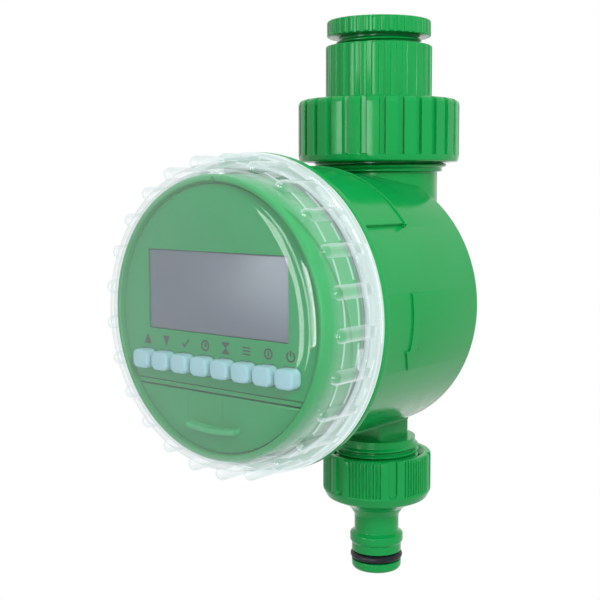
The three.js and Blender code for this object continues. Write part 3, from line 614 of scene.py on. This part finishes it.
def tap_reducer():
    """The ring with a female tap thread at the top, its short male thread below."""
    radius, end, shank = REDUCER.radius, REDUCER.bottom, REDUCER.shank
    bottom = TOP - REDUCER.ring
    core, crest, pitch = vars(PIPE_THREAD).values()
    bore, floor, outflow = vars(TAP_SOCKET).values()
    wide = bore + 0.3
    ring = path([
        (shank, bottom, 0.2), (radius, bottom, 0.5), (radius, TOP, 0.7), (bore + 1.1, TOP, 0.3),
        (wide, TOP - 0.9, 0.2),
    ])
    mouth = ladder(wide, TOP - 1.2, floor + 2.6)
    inside = [(bore, floor + 2.4), (bore, floor), (outflow, floor), (outflow, end)]
    tail = [(core - 0.6, end)] + ladder(core, end + 0.6, bottom - 0.3)
    profile = ring[1:] + mouth + inside + tail + [(shank, bottom)]
    angles, flutes = fluting(REDUCER, bottom - 2, TOP + 2, 2, round_ends=True)
    male = thread(core, crest, pitch, end + 0.8, bottom - 0.4)
    female = thread(wide, bore - 0.5, pitch, floor + 2.6, TOP - 1.4)

    def relief(turn, at, along):
        return female(turn, male(turn, flutes(turn, at, along), along), along)
    piece = turned_z("tap_reducer_ring", profile, angles, relief)
    settle(piece, "reducer", "body_green", ["tap_reducer"])


def tap_sleeve():
    """The fluted barrel; its flange is held in the union nut."""
    radius, bottom, top = SLEEVE.radius, SLEEVE.bottom, TAIL.top
    tail = TAIL.bottom + TAIL.thickness
    bore = PIPE_THREAD.crest + GAP
    floor, water = REDUCER.bottom - 1.4, 10
    outside = path([
        (water, TAIL.bottom), (TAIL.radius, TAIL.bottom, 0.4), (TAIL.radius, tail, 0.4),
        (TAIL.neck, tail, 0.4), (TAIL.neck, bottom, 0.1), (radius, bottom, 0.2), (radius, bottom + 0.6),
    ])
    rim = path([(radius, top - 1.2), (radius, top, 0.5), (bore + 0.9, top, 0.2), (bore, top - 0.9)])
    inside = [(bore, floor), (water, floor)]
    angles, flutes = fluting(SLEEVE, bottom + 0.2, top + 2)
    sleeve = turned_z("tap_sleeve_barrel", outside + rim + inside, angles, flutes)
    settle(sleeve, "inlet_tail", "body_green", ["tap_sleeve"])


def inlet_nut():
    """The union nut: broad lands between narrow grooves that run out over its rounded shoulder."""
    radius, bottom, top = NUT.radius, NUT.bottom, NUT.top
    bore, neck_bore = INLET_THREAD.crest + GAP, TAIL.neck + GAP
    outside = path([(bore + 1, bottom, 0.3), (radius - 0.35, bottom, 0.7), (radius, bottom + 2.0, 0.2)])
    wall = ladder(radius, bottom + 2.0, bottom + 3.0) + [(radius, top - 4)]
    shoulder = path([(radius, top - 4), (radius, top, 2.5), (15.9, top, 0.4), (neck_bore, top - 0.6)], 10)
    tail = TAIL.bottom + TAIL.thickness + GAP
    inside = [(neck_bore, tail), (bore, tail), (bore, bottom + 1)]
    angles, flutes = fluting(NUT, bottom + 2.1, top + 2)
    nut = turned_z("inlet_union_nut", outside + wall + shoulder[1:] + inside, angles, flutes)
    settle(nut, "inlet_nut", "body_green", ["inlet_nut"])


# ---- housing ----

def drum():
    """The round drum, open at the front, with a thin front rim and a recessed ring on its rear face."""
    radius, back, front = DRUM.radius, DRUM.back, DRUM.front
    inside, recess = radius - DRUM.wall, back - DRUM.recess
    profile = path([
        (0, recess), (2.2, recess, 0.2), (2.6, back, 0.2), (34.6, back, 0.2), (34.9, recess, 0.1),
        (35.5, recess, 0.1), (35.8, back, 0.2), (radius, back, 1.4), (radius, front, 0.3),
        (RIM.radius, front, 0.5), (RIM.radius, RIM.front, 0.3), (inside, RIM.front, 0.3),
        (inside, back - DRUM.wall, 1), (0, back - DRUM.wall),
    ])
    return turned_y("housing_shell", profile, even(240))


def band(name, radius, half, front, back):
    """Part of a ring over the drum's top, `half` degrees to each side of its crown."""
    over = [polar(radius, 90 - half + 2 * half * i / 60) for i in range(61)]
    under = [polar(SADDLE.inner, 90 + half - 2 * half * i / 60) for i in range(61)]
    return soften(prism_y(name, over + under, front, back), 0.2, 3)


def saddle():
    """The raised band over the drum's top, behind its front rim, with a lip along its rear edge."""
    radius, half, back = SADDLE.radius, SADDLE.half_angle, SADDLE.back
    raised = band("saddle", radius, half, DRUM.front - 0.5, back)
    return join(raised, band("lip", radius + SADDLE.lip, half + 1, back - 0.9, back + 0.1))


def flow_arrow():
    """A raised arrow that points down, wrapped onto the drum's right-hand side."""
    y, shaft, head, radius = ARROW.y, ARROW.shaft, ARROW.head, DRUM.radius
    outline = rounded([
        (y + shaft, ARROW.top, 0.3), (y - shaft, ARROW.top, 0.3), (y - shaft, ARROW.neck, 0.1),
        (y - head, ARROW.neck, 0.3), (y, ARROW.tip, 0.3), (y + head, ARROW.neck, 0.3),
        (y + shaft, ARROW.neck, 0.1),
    ], steps=3)
    arrow = prism_x("flow_arrow", outline, radius - 6, radius + 3)
    skin = radius + ARROW.height
    layer = turned_y("skin", [(0, y - 8), (skin, y - 8), (skin, y + 8), (0, y + 8)], even(720))
    return combine(arrow, [layer], "INTERSECT")


def valve_column():
    """The upright valve body: inlet thread and faceted neck above, outlet thread below."""
    top, shoulder, neck, neck_bottom = COLUMN.top, COLUMN.shoulder, COLUMN.neck, COLUMN.neck_bottom
    end, collar = COLUMN.end, COLUMN.collar
    core, crest, pitch = vars(INLET_THREAD).values()
    lower_core, lower_crest, lower_pitch = vars(PIPE_THREAD).values()
    middle = path([
        (lower_core, collar, 0.2), (COLUMN.waist, collar, 0.2), *COLUMN.flare, (neck, neck_bottom, 4),
        (neck, shoulder, 0.3), (core, shoulder + 0.3),
    ])
    profile = (
        [(0, end), (lower_core - 0.8, end)] + ladder(lower_core, end + 0.6, collar) + middle
        + ladder(core, shoulder + 0.4, top - 0.8) + [(core - 0.8, top), (0, top)]
    )
    upper_thread = thread(core, crest, pitch, shoulder + 0.5, top - 0.9)
    lower_thread = thread(lower_core, lower_crest, lower_pitch, end + 0.8, collar - 1.6)

    def relief(turn, at, along):
        facet = np.cos(turn * COLUMN.facets / 2 % math.pi - math.pi / 2)
        on_neck = (np.abs(at - neck) < 0.02) & (along > neck_bottom)
        faceted = np.where(on_neck, neck - 0.12 * (1 - facet), at)
        return lower_thread(turn, upper_thread(turn, faceted, along), along)
    return turned_z("column", profile, even(180), relief)


def outlet_pads():
    """The stepped pad under the drum and the square neck that the outlet thread starts from."""
    for pad in PADS:
        outline = rounded_rectangle(pad.width, pad.depth, pad.corner, (0, pad.middle), pad.steps)
        yield soften(prism_z("pad", outline, pad.bottom, PAD_TOP), pad.edge)


def water_way():
    """The bores down the valve column, as one solid to cut away."""
    mouth, bore, chamber, floor, ceiling, inlet, recess, recess_floor = vars(WATER_WAY).values()
    end, top = COLUMN.end, COLUMN.top + 2
    return turned_z("water_way", [
        (0, end - 2), (mouth, end - 2), (bore, end + 0.7), (bore, floor), (chamber, floor),
        (chamber, ceiling), (inlet, ceiling), (inlet, recess_floor), (recess, recess_floor),
        (recess, top), (0, top),
    ], even(72))


def screw_wells():
    profile = [(0, -10), (1.9, -10), (1.9, -6), (3.5, -6), (3.5, -3.9), (3.9, -3), (3.9, 0), (0, 0)]
    centres = [polar(SCREW_RING.orbit, degrees) for degrees in SCREW_RING.angles]
    return [turned_y("well", profile, even(48), centre=centre) for centre in centres]


def housing():
    """Drum and valve column in one moulding, hollow but for the column, with its bores and wells."""
    shell = drum()
    join(shell, saddle(), flow_arrow(), valve_column(), *outlet_pads())
    inside, back = DRUM.hollow, DRUM.back - DRUM.wall
    hollow_profile = path([(0, -60), (inside, -60), (inside, back, 1), (0, back)])
    hollow = turned_y("hollow", hollow_profile, even(240))
    waist, neck = COLUMN.waist, COLUMN.neck - 0.1
    flare = [corner[:2] for corner in COLUMN.flare]
    column = [(0, 40), (waist, 40), *flare, (neck, COLUMN.neck_bottom), (neck, 130), (0, 130)]
    cut(hollow, turned_z("core", column, even(120)))
    cut(shell, hollow)
    cut(shell, water_way(), *screw_wells())
    settle(shell, "housing", "body_green", ["housing", "valve_body"])


def rear_screws():
    """Pan-head screws with a cross recess at the bottom of the rear wells."""
    head = path([
        (0, -3.95), (1.9, -4.05, 1), (3.05, -4.7, 0.7), (3.05, -5.6, 0.15), (1.5, -5.65, 0.2), (1.5, -21),
        (0, -22),
    ])
    arm = rounded_rectangle(3.4, 0.75, 0.2, steps=2)
    for i, degrees in enumerate(SCREW_RING.angles):
        node = f"rear_screw_{i + 1}"
        centre = polar(SCREW_RING.orbit, degrees)
        screw = turned_y(node + "_cross_head", head, even(40), centre=centre)
        for quarter in (0, 90):
            cut(screw, prism_y("slot", moved(spun(arm, 23 * i + quarter), centre), -4.9, -3))
        settle(screw, "housing", "steel", [node])


# ---- outlet ----

def outlet_connector():
    """The gripping nut and quick-connect nipple in one moulding."""
    radius, bottom, top = CONNECTOR.radius, CONNECTOR.bottom, CONNECTOR.top
    first, land, ribs, zone = GRIP.first_slot, GRIP.land, GRIP.ribs, 360 / GRIP.zones
    step = (zone - 2 * land) / ribs
    layout = [(first, *GRIP.slot)]
    layout += [((first + land + (k + 0.5) * step) % zone, *GRIP.groove) for k in range(ribs)]
    height, half, floor = O_RING.height, O_RING.half_groove, O_RING.groove
    tip, neck, collar, bore = vars(NIPPLE).values()
    nipple = path([
        (bore, 0, 0.5), (tip, 0, 1.5), (tip, height - half, 0.2), (floor, height - half),
        (floor, height + half), (tip, height + half, 0.2), (tip, 8.6, 0.3), (collar, 9.3, 0.4),
        (collar, 11.6, 0.5), (neck, 12.4, 0.4), (neck, 17.8, 2.5), (8.8, 20.4, 0.8), (10.6, 21.6, 0.6),
        (15.9, 24.0, 1.6), (radius, bottom + 0.9, 1.0), (radius, bottom + 1.1),
    ])
    wall = ladder(radius, bottom + 1.2, bottom + 4, 0.2)
    socket = PIPE_THREAD.crest + GAP
    rim = path([(radius, top - 1.8), (radius, top, 1.0), (15.0, top, 0.4), (socket, top - 1.6)])
    inside = [(socket, bottom + 2.1), (bore, bottom + 2.1)]
    relief = grooves(GRIP.zones, layout, radius, bottom + 1.4, top + 2, round_ends=True)
    angles = groove_angles(GRIP.zones, layout, radius, 2)
    connector = turned_z("outlet_quick_connector", nipple + wall + rim + inside, angles, relief)
    settle(connector, "outlet_connector", "body_green", ["outlet_connector"])


def nipple_o_ring():
    profile = circle(O_RING.section, 20, (O_RING.centre, O_RING.height))
    ring = turned_z("nipple_seal_ring", profile, even(96))
    settle(ring, "outlet_connector", "rubber", ["nipple_o_ring"])


# ---- control head ----

def key_centre(i):
    return (i - (len(KEYS) - 1) / 2) * KEY.pitch, KEY.centre


def closing_ridge(name, inner, outer, rear, start, sweep, steps=40):
    """A ridge of the closing thread, on a helix about the head axis, that swells from both its ends."""
    rings = []
    for i in range(steps + 1):
        share, turned = i / steps, sweep * i / steps
        y = rear - CLOSING.lead * turned / 360
        swell = min(1, 8 * share, 8 * (1 - share))
        edge = inner + (outer - inner) * (0.2 + 0.8 * swell)
        (x, z), (x_edge, z_edge) = polar(inner, start + turned), polar(edge, start + turned)
        front = y - CLOSING.width
        rings.append([(x, front, HEAD + z), (x_edge, front, HEAD + z_edge), (x_edge, y, HEAD + z_edge),
                      (x, y, HEAD + z)])
    return loft(name, rings)


def closing_starts():
    return [CLOSING.first + 360 * i / CLOSING.starts for i in range(CLOSING.starts)]


def bezel():
    """The bezel turned in one with the panel, the groove round it and the tube behind it."""
    radius, front, back, bore = BEZEL.radius, BEZEL.front, BEZEL.back, BEZEL.bore
    face, groove = PANEL.front, PANEL.radius - PANEL.groove
    floor = face + PANEL.groove_depth
    outer, inner, end = vars(SOCKET).values()
    profile = path([
        (0, face), (groove - 0.3, face), (groove, floor), (PANEL.radius, floor), (36.25, front, 0.35),
        (radius, front, 1.7), (radius, back, 0.2), (outer, back, 0.1), (outer, end, 0.3),
        (inner, end, 0.2), (inner, back, 0.1), (bore, back - 1, 0.1), (bore, PANEL.back, 0.5),
        (0, PANEL.back),
    ], 7)
    return turned_y("control_head_bezel", profile, even(240))


def panel_openings():
    """Solids to cut from the panel: key holes, the display's window, the drawer's hole and a seam."""
    through = (PANEL.front - 1, PANEL.back + 1)
    width, height = KEY.width + 0.4, KEY.height + 0.4
    outlines = [rounded_rectangle(width, height, 1.8, key_centre(i)) for i in range(len(KEYS))]
    outlines.append(rounded_rectangle(SCREEN.width + 0.4, SCREEN.height + 0.4, 0.6, SCREEN.centre))
    outlines.append(disc_below(DOOR.radius + 0.12, DOOR.top + 0.45))
    notch = [(-0.3, 36.2), (1.9, 36.2), (1.1, 37.3), (0.5, 37.3)]
    level, end, half = SEAM.level, SEAM.end, SEAM.half_width
    seam = [(-end, level - half), (end, level - half), (end, level + half), (0.3 - end, level + half),
            (-end - 0.9, level + 1.9), (-end - 1.3, level + 1.8)]
    return [
        *(prism_y("opening", outline, *through) for outline in outlines),
        prism_y("notch", notch, BEZEL.front - 1, BEZEL.front + 0.5),
        prism_y("seam", seam, PANEL.front - 1, PANEL.front + SEAM.depth),
    ]


def control_head():
    """Round bezel with the sunk control panel, its openings, and the closing thread around it."""
    head = bezel()
    inner, outer, rear = BEZEL.radius - 0.5, CLOSING.ridge, CLOSING.back
    join(head, *(closing_ridge("ridge", inner, outer, rear, start, 75) for start in closing_starts()))
    cut(head, *panel_openings())
    settle(head, "housing", "panel_green", ["control_head"])
    # The bezel's rim gets the brightened green, painted light against the shade the cover casts on it.
    repaint(head, "bezel_green_brightened", lambda x, y, z: math.hypot(x, z) > PANEL.radius + 0.05)


def lcd_window():
    outline = rounded_rectangle(SCREEN.width + 0.2, SCREEN.height + 0.2, 0.5, SCREEN.centre)
    window = prism_y("display_window", outline, -72.45, -71.1)
    settle(soften(window, 0.15), "housing", "display_window", ["lcd_window"])


def keys():
    """Soft keys with rounded corners and edges, held by a flange behind the panel."""
    width, height, edge, flange = KEY.width, KEY.height, KEY.edge, KEY.flange
    shelf = PANEL.back + GAP
    sections = [(KEY.back, flange, 0), (shelf, flange, 0), (shelf, 0, 0), (PANEL.front, 0, 0)]
    for k in range(7):
        angle = math.pi / 2 * k / 6
        sections.append((KEY.front + edge * (1 - math.sin(angle)), 0, edge * (1 - math.cos(angle))))
    for i, name in enumerate(KEYS):
        outlines = []
        for y, grow, shrink in sections:
            size = grow - 2 * shrink
            corner = KEY.corner - 0.6 * shrink
            outlines.append((y, rounded_rectangle(width + size, height + size, corner, key_centre(i), 6)))
        key = loft_y(f"key_cap_{name}", outlines)
        settle(key, f"key_{name}", "key_silicone", [f"key_{name}"], 50)


# ---- printed symbols ----

def ring_outline(radius, width, start=0, sweep=360, steps=40):
    """An arc of a ring as one closed outline; a full ring keeps a hair-thin slit."""
    sweep = min(sweep, 359.5)
    outer = [polar(radius, start + sweep * i / steps) for i in range(steps + 1)]
    inner = [polar(radius - width, start + sweep * (steps - i) / steps) for i in range(steps + 1)]
    return outer + inner


def bar(start, end, width):
    """A straight stroke between two points."""
    a, b = Vector(start), Vector(end)
    side = (b - a).normalized().orthogonal() * width / 2
    return [tuple(a + side), tuple(b + side), tuple(b - side), tuple(a - side)]


def symbol(name):
    """The strokes of one key's symbol about its centre, in millimetres."""
    half, line, thin = PRINT.size / 2, PRINT.line, PRINT.thin
    most = 0.8 * half
    shapes = {
        "up": [[(-half, -half), (half, -half), (0, half)]],
        "down": [[(-half, half), (half, half), (0, -half)]],
        "set": [bar((-half, 0), (-0.3 * half, -most), 0.4),
                bar((-0.42 * half, -most), (half, most), 0.4)],
        "clock": [ring_outline(half + 0.15, line), bar((0, -0.1), (0, 0.85), line),
                  bar((-0.1, 0), (0.7, 0), line)],
        "time": [bar((-half, half), (half, half), line), bar((-half, -half), (half, -half), line),
                 [(-most, most), (most, most), (0, 0)], [(-most, -most), (0, 0), (most, -most)]],
        "program": [bar((-half, k * 0.85), (half, k * 0.85), thin) for k in (-1, 0, 1)],
        "on": [ring_outline(half + 0.1, line), bar((0, -0.7), (0, 0.7), thin)],
        "off": [ring_outline(half + 0.1, line, 125, 290), bar((0, 0.1), (0, 1.55), line)],
    }
    return shapes[name]


def panel_print():
    """The symbols over the keys, as a thin layer of ink on the panel."""
    front, back = PANEL.front - PRINT.thickness, PANEL.front - PRINT.lift
    for i, name in enumerate(KEYS):
        centre = (key_centre(i)[0], PRINT.centre)
        strokes = [prism_y("stroke", moved(outline, centre), front, back) for outline in symbol(name)]
        mark = bmesh.new()
        for stroke in strokes:
            mark.from_mesh(stroke.data)
        mark.to_mesh(strokes[0].data)
        mark.free()
        for stroke in strokes[1:]:
            bpy.data.objects.remove(stroke)
        strokes[0].name = f"symbol_{name}"
        settle(strokes[0], "housing", "ink")


# ---- cover ----

def cover_rib(degrees):
    """A grip bar on the cover's skirt, round at the front and along its back."""
    radius, tip, end = COVER_RIBS.radius, COVER_RIBS.tip, COVER_RIBS.end
    angles = [math.pi / 2 * k / 5 for k in range(6)]
    nose = [(radius * math.sin(a), tip + radius * (1 - math.cos(a))) for a in angles]
    centre = polar(COVER.radius + COVER_RIBS.orbit, degrees)
    return turned_y("rib", nose + [(radius, end), (0, end)], even(20), centre=centre)


def shoulder(radius, across, deep):
    """A quarter of an ellipse from the cover's flat face round to its skirt."""
    angles = [math.pi / 2 * k / 14 for k in range(15)]
    end = COVER.shoulder_end
    return [(radius - across * (1 - math.sin(a)), end - deep * math.cos(a)) for a in angles]


def cover_cap():
    """The cover's turned shell: flat face, rounded shoulder, two-step skirt and grooved flange."""
    radius, bore, flange, front, back = COVER.radius, COVER.bore, COVER.flange, COVER.front, COVER.back
    inner = bore - 0.25
    skirt = []
    for grow, step in zip((0.1, 0.4), COVER.steps):
        skirt += [(radius + grow, step), (radius + grow + 0.3, step + 0.35)]
    profile = path([
        (0, front), *shoulder(radius, 8.4, 7.5), *skirt, (radius + 0.7, -61.6, 0.2),
        (flange - 1.1, -61.4, 0.3), (flange - 1.0, -60.2, 0.1), (flange, -60.0, 0.3),
        (flange, -58.9, 0.15), (flange - 0.4, -58.7, 0.1), (flange - 0.4, -58.3, 0.1),
        (flange, -58.1, 0.15), (flange, back, 0.3), (bore + 0.6, back, 0.3), (bore, -59.8, 0.2),
        (bore, -67.4, 0.1), (inner, -67.6, 0.1), *reversed(shoulder(inner, 4.6, 5.9)),
        (0, COVER.inner_front),
    ], 10)
    return turned_y("clear_cover_cap", profile, even(300))


def on_a_step(x, y, z):
    """True on the two narrow steps of the cover's skirt, which get the flange's glowing finish as painted
    white lines.
    """
    near = min(abs(y - step - 0.175) for step in COVER.steps)
    return near < 0.02 and COVER.radius < math.hypot(x, z) < COVER.radius + 0.72


def cover():
    """The clear cap with its grip bars outside and the lugs of its closing thread inside."""
    shell = cover_cap()
    first, count = COVER_RIBS.first, COVER_RIBS.count
    ribs = [cover_rib(first - 360 * i / count) for i in range(count)]
    inner, turned = COVER.bore + 0.3, 3
    rear = CLOSING.back + CLOSING.width + 0.4 - CLOSING.lead * turned / 360
    starts = [start + turned for start in closing_starts()]
    lugs = [closing_ridge("lug", inner, CLOSING.lug, rear, start, 9) for start in starts]
    join(shell, *ribs, *lugs)
    settle(shell, "cover", "clear_cover", ["cover"], 28)
    repaint(shell, "cover_skirt", lambda x, y, z: y > -72)
    repaint(shell, "cover_rib", lambda x, y, z: math.hypot(x, z) > COVER.radius + 0.75)
    # The flange and the two narrow steps get the most painted glow; on the steps it paints thin white
    # lines in place of highlights.
    repaint(shell, "cover_flange", lambda x, y, z: y > -61.5 or on_a_step(x, y, z))


def cover_gasket():
    gasket = turned_y("cover_seal_ring", rounded_rectangle(0.8, 0.9, 0.3, (39.45, -58.1)), even(160))
    settle(gasket, "cover_ring", "silicone", ["cover_gasket"])


# ---- battery drawer ----

def finger_ledge():
    """The curved pull on the drawer's front, lower in its middle."""
    half, thickness, top, sag, reach = vars(LEDGE).values()
    across = [half - 2 * half * i / 24 for i in range(25)]
    upper = [(x, top - sag * (1 - (x / half) ** 2)) for x in across]
    lower = [(x, z - thickness) for x, z in reversed(upper)]
    return soften(prism_y("ledge", upper + lower, DOOR.front - reach, DOOR.front + 0.8), 0.35, 3)


def battery_tray():
    """The drawer: its door with two fine lines and the ledge, and the open box that holds the cells."""
    front, top, wall, back = DOOR.front, DOOR.top, DRAWER.wall, DRAWER.back
    outline = disc_below(DOOR.radius, top)
    door = soften(prism_y("battery_drawer", outline, front, front + DOOR.thickness), 0.25)
    radius, half = DRAWER.radius, DRAWER.half_width
    box = soften(prism_y("box", disc_below(radius, DRAWER.top, half), front + 1, back), 0.3)
    lines, end = [], -28.4
    for x in DOOR.seams:
        left, right = x - 0.08, x + 0.08
        line = [(left, top - 0.4), (right, top - 0.4), (right, end), (left, end)]
        lines.append(prism_y("line", line, front - 0.07, front + 0.3))
    join(door, box, finger_ledge(), *lines)
    room = disc_below(radius - wall, DRAWER.top + 5, half - wall)
    cut(door, prism_y("room", room, front + DOOR.thickness, back - wall))
    settle(door, "battery_drawer", "panel_green", ["battery_tray"])
    # The ledge's front faces get the lighter green: painted light for the ledge catching the light.
    repaint(door, "ledge_green_lit", lambda x, y, z: y < front - 0.2)


def battery_cells():
    """AAA cells: a printed sleeve rolled over both ends, with a bright nub and base."""
    radius, length, x_centre, z_centre, front = vars(CELL).values()
    ends = [(0, 0), (1.9, 0, 0.4), (1.9, 1.0, 0.2), (4.4, 1.0), (radius, 1.0, 0.5),
            (radius, length - 0.1, 0.5), (4.4, length - 0.1, 0.2), (4.2, length, 0.1), (0, length)]
    for number, side in ((1, 1), (2, -1)):
        tip = front if side > 0 else front + length
        profile = path([(r, tip + side * y, *fillet) for r, y, *fillet in ends])
        middle = side * x_centre
        cell = turned_y(f"battery_cell_body_{number}", profile, even(56), centre=(middle, z_centre))
        settle(cell, "battery_drawer", "cell_wrap", [f"battery_cell_{number}"])
        repaint(cell, "steel", lambda x, y, z: math.hypot(x - middle, z - z_centre) < 4.3)


# ---- inner pieces that keep their CAD shape ----

def dress_inner_pieces():
    groups = {
        "rubber": ["stem_seal", "reducer_washer", "inlet_washer", "outlet_washer"],
        "silicone": ["head_seal"],
        "nylon": ["filter_screen", "seat_retainer", "output_gear", "idler_gear", "gearbox_plate"],
        "seat_plastic": ["upper_seat", "lower_seat"],
        "chrome": ["valve_ball"],
        "brass": ["motor_pinion", "contact_bridge", "contact_tab_1", "contact_tab_2"],
        "steel": ["valve_stem", "idler_pin", "valve_motor"]
                 + [f"gearbox_screw_{i}" for i in (1, 2, 3)] + [f"board_screw_{i}" for i in (1, 2, 3, 4)],
        "board_green": ["circuit_board"],
        "display_glass": ["lcd_module"],
    }
    for finish, names in groups.items():
        for name in names:
            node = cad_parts[name]
            node.data.materials.clear()
            node.data.materials.append(FINISHES[finish])


# ---- studio ----

def direction_to(azimuth, elevation):
    """The unit vector towards a place seen from the model, in degrees to the right and up."""
    across, forward = math.sin(math.radians(azimuth)), math.cos(math.radians(azimuth))
    level = math.cos(math.radians(elevation))
    return Vector((level * across, -level * forward, math.sin(math.radians(elevation))))


def aim(thing, target, roll=0.0):
    towards = (Vector(target) - thing.location).to_track_quat("-Z", "Y")
    rolled = towards @ Matrix.Rotation(math.radians(roll), 3, "Z").to_quaternion()
    thing.rotation_euler = rolled.to_euler()


def camera():
    """The view: 40 degrees round to the right and 6 degrees above, at a product photo's distance."""
    target = Vector((-31.84 * MM, 0, 84.19 * MM + FOOT))
    lens = bpy.data.cameras.new("camera")
    lens.lens = 66
    lens.sensor_width = 36
    lens.clip_start = 0.01
    eye = bpy.data.objects.new("camera", lens)
    bpy.context.scene.collection.objects.link(eye)
    eye.location = target + 366.34 * MM * direction_to(40.03, 6.18)
    aim(eye, target, -0.15)
    bpy.context.scene.camera = eye


def soft_light(name, azimuth, elevation, distance, size, power, left_out):
    """A rectangular lamp aimed at the model; azimuths turn from the control face to the right.

    `left_out` is what it doesn't light: "glossy" for reflections, "diffuse" for matt surfaces.
    """
    lamp = bpy.data.lights.new(name, "AREA")
    lamp.shape = "RECTANGLE"
    lamp.size, lamp.size_y = size
    lamp.energy = power
    light = bpy.data.objects.new(name, lamp)
    bpy.context.scene.collection.objects.link(light)
    centre = Vector((0, -0.03, FOOT + 0.12))
    light.location = centre + distance * direction_to(azimuth, elevation)
    aim(light, centre)
    setattr(light, f"visible_{left_out}", False)


def burn_out(nodes, links, soft, white, output):
    """Shows `white` to views, mirror reflections and transmission, and `soft` to all other light."""
    path = nodes.new("ShaderNodeLightPath")
    seen = path.outputs["Is Camera Ray"]
    for kind in ("Is Transmission Ray", "Is Glossy Ray"):
        either = nodes.new("ShaderNodeMath")
        either.operation = "MAXIMUM"
        links.new(seen, either.inputs[0])
        links.new(path.outputs[kind], either.inputs[1])
        seen = either.outputs[0]
    mix = nodes.new("ShaderNodeMixShader")
    links.new(seen, mix.inputs["Fac"])
    links.new(soft.outputs[0], mix.inputs[1])
    links.new(white.outputs[0], mix.inputs[2])
    links.new(mix.outputs[0], nodes[output].inputs["Surface"])


def surroundings():
    world = bpy.data.worlds.new("studio")
    bpy.context.scene.world = world
    world.use_nodes = True
    nodes, links = world.node_tree.nodes, world.node_tree.links
    fill = nodes["Background"]
    fill.inputs["Color"].default_value = (0.97, 0.99, 1.0, 1)
    fill.inputs["Strength"].default_value = 0.62
    backdrop = nodes.new("ShaderNodeBackground")
    backdrop.inputs["Color"].default_value = (1, 1, 1, 1)
    burn_out(nodes, links, fill, backdrop, "World Output")


def paper_floor():
    mesh = bpy.data.meshes.new("floor")
    reach, drop = 60.0, FOOT - 0.12
    corners = [(-reach, -reach), (reach, -reach), (reach, reach), (-reach, reach)]
    mesh.from_pydata([(x, y, drop) for x, y in corners], [], [(0, 1, 2, 3)])
    floor = bpy.data.objects.new("floor", mesh)
    bpy.context.scene.collection.objects.link(floor)
    paper = Finish("backdrop_paper", (0.6, 0.6, 0.6, 1), 0.9)
    paper.bump([(0.6, 3, 0.01)])
    white = paper.add("ShaderNodeEmission", Color=(1, 1, 1, 1), Strength=1.0)
    burn_out(paper.nodes, paper.links, paper.shader, white, "Material Output")
    floor.data.materials.append(paper.material)


def studio():
    bpy.context.scene.view_settings.view_transform = "Standard"
    surroundings()
    soft_light("key", 58, 28, 0.5, (0.22, 0.22), 2.0, "glossy")
    soft_light("rear", 215, 30, 0.7, (0.4, 0.4), 2.4, "glossy")
    for azimuth in (20, -18):
        soft_light("softbox", azimuth, -6.2, 0.9, (0.24, 0.9), 6.5, "diffuse")
    paper_floor()


# ---- the scene ----

camera()
studio()
tap_reducer()
tap_sleeve()
inlet_nut()
housing()
rear_screws()
outlet_connector()
nipple_o_ring()
control_head()
lcd_window()
keys()
panel_print()
cover()
cover_gasket()
battery_tray()
battery_cells()
dress_inner_pieces()
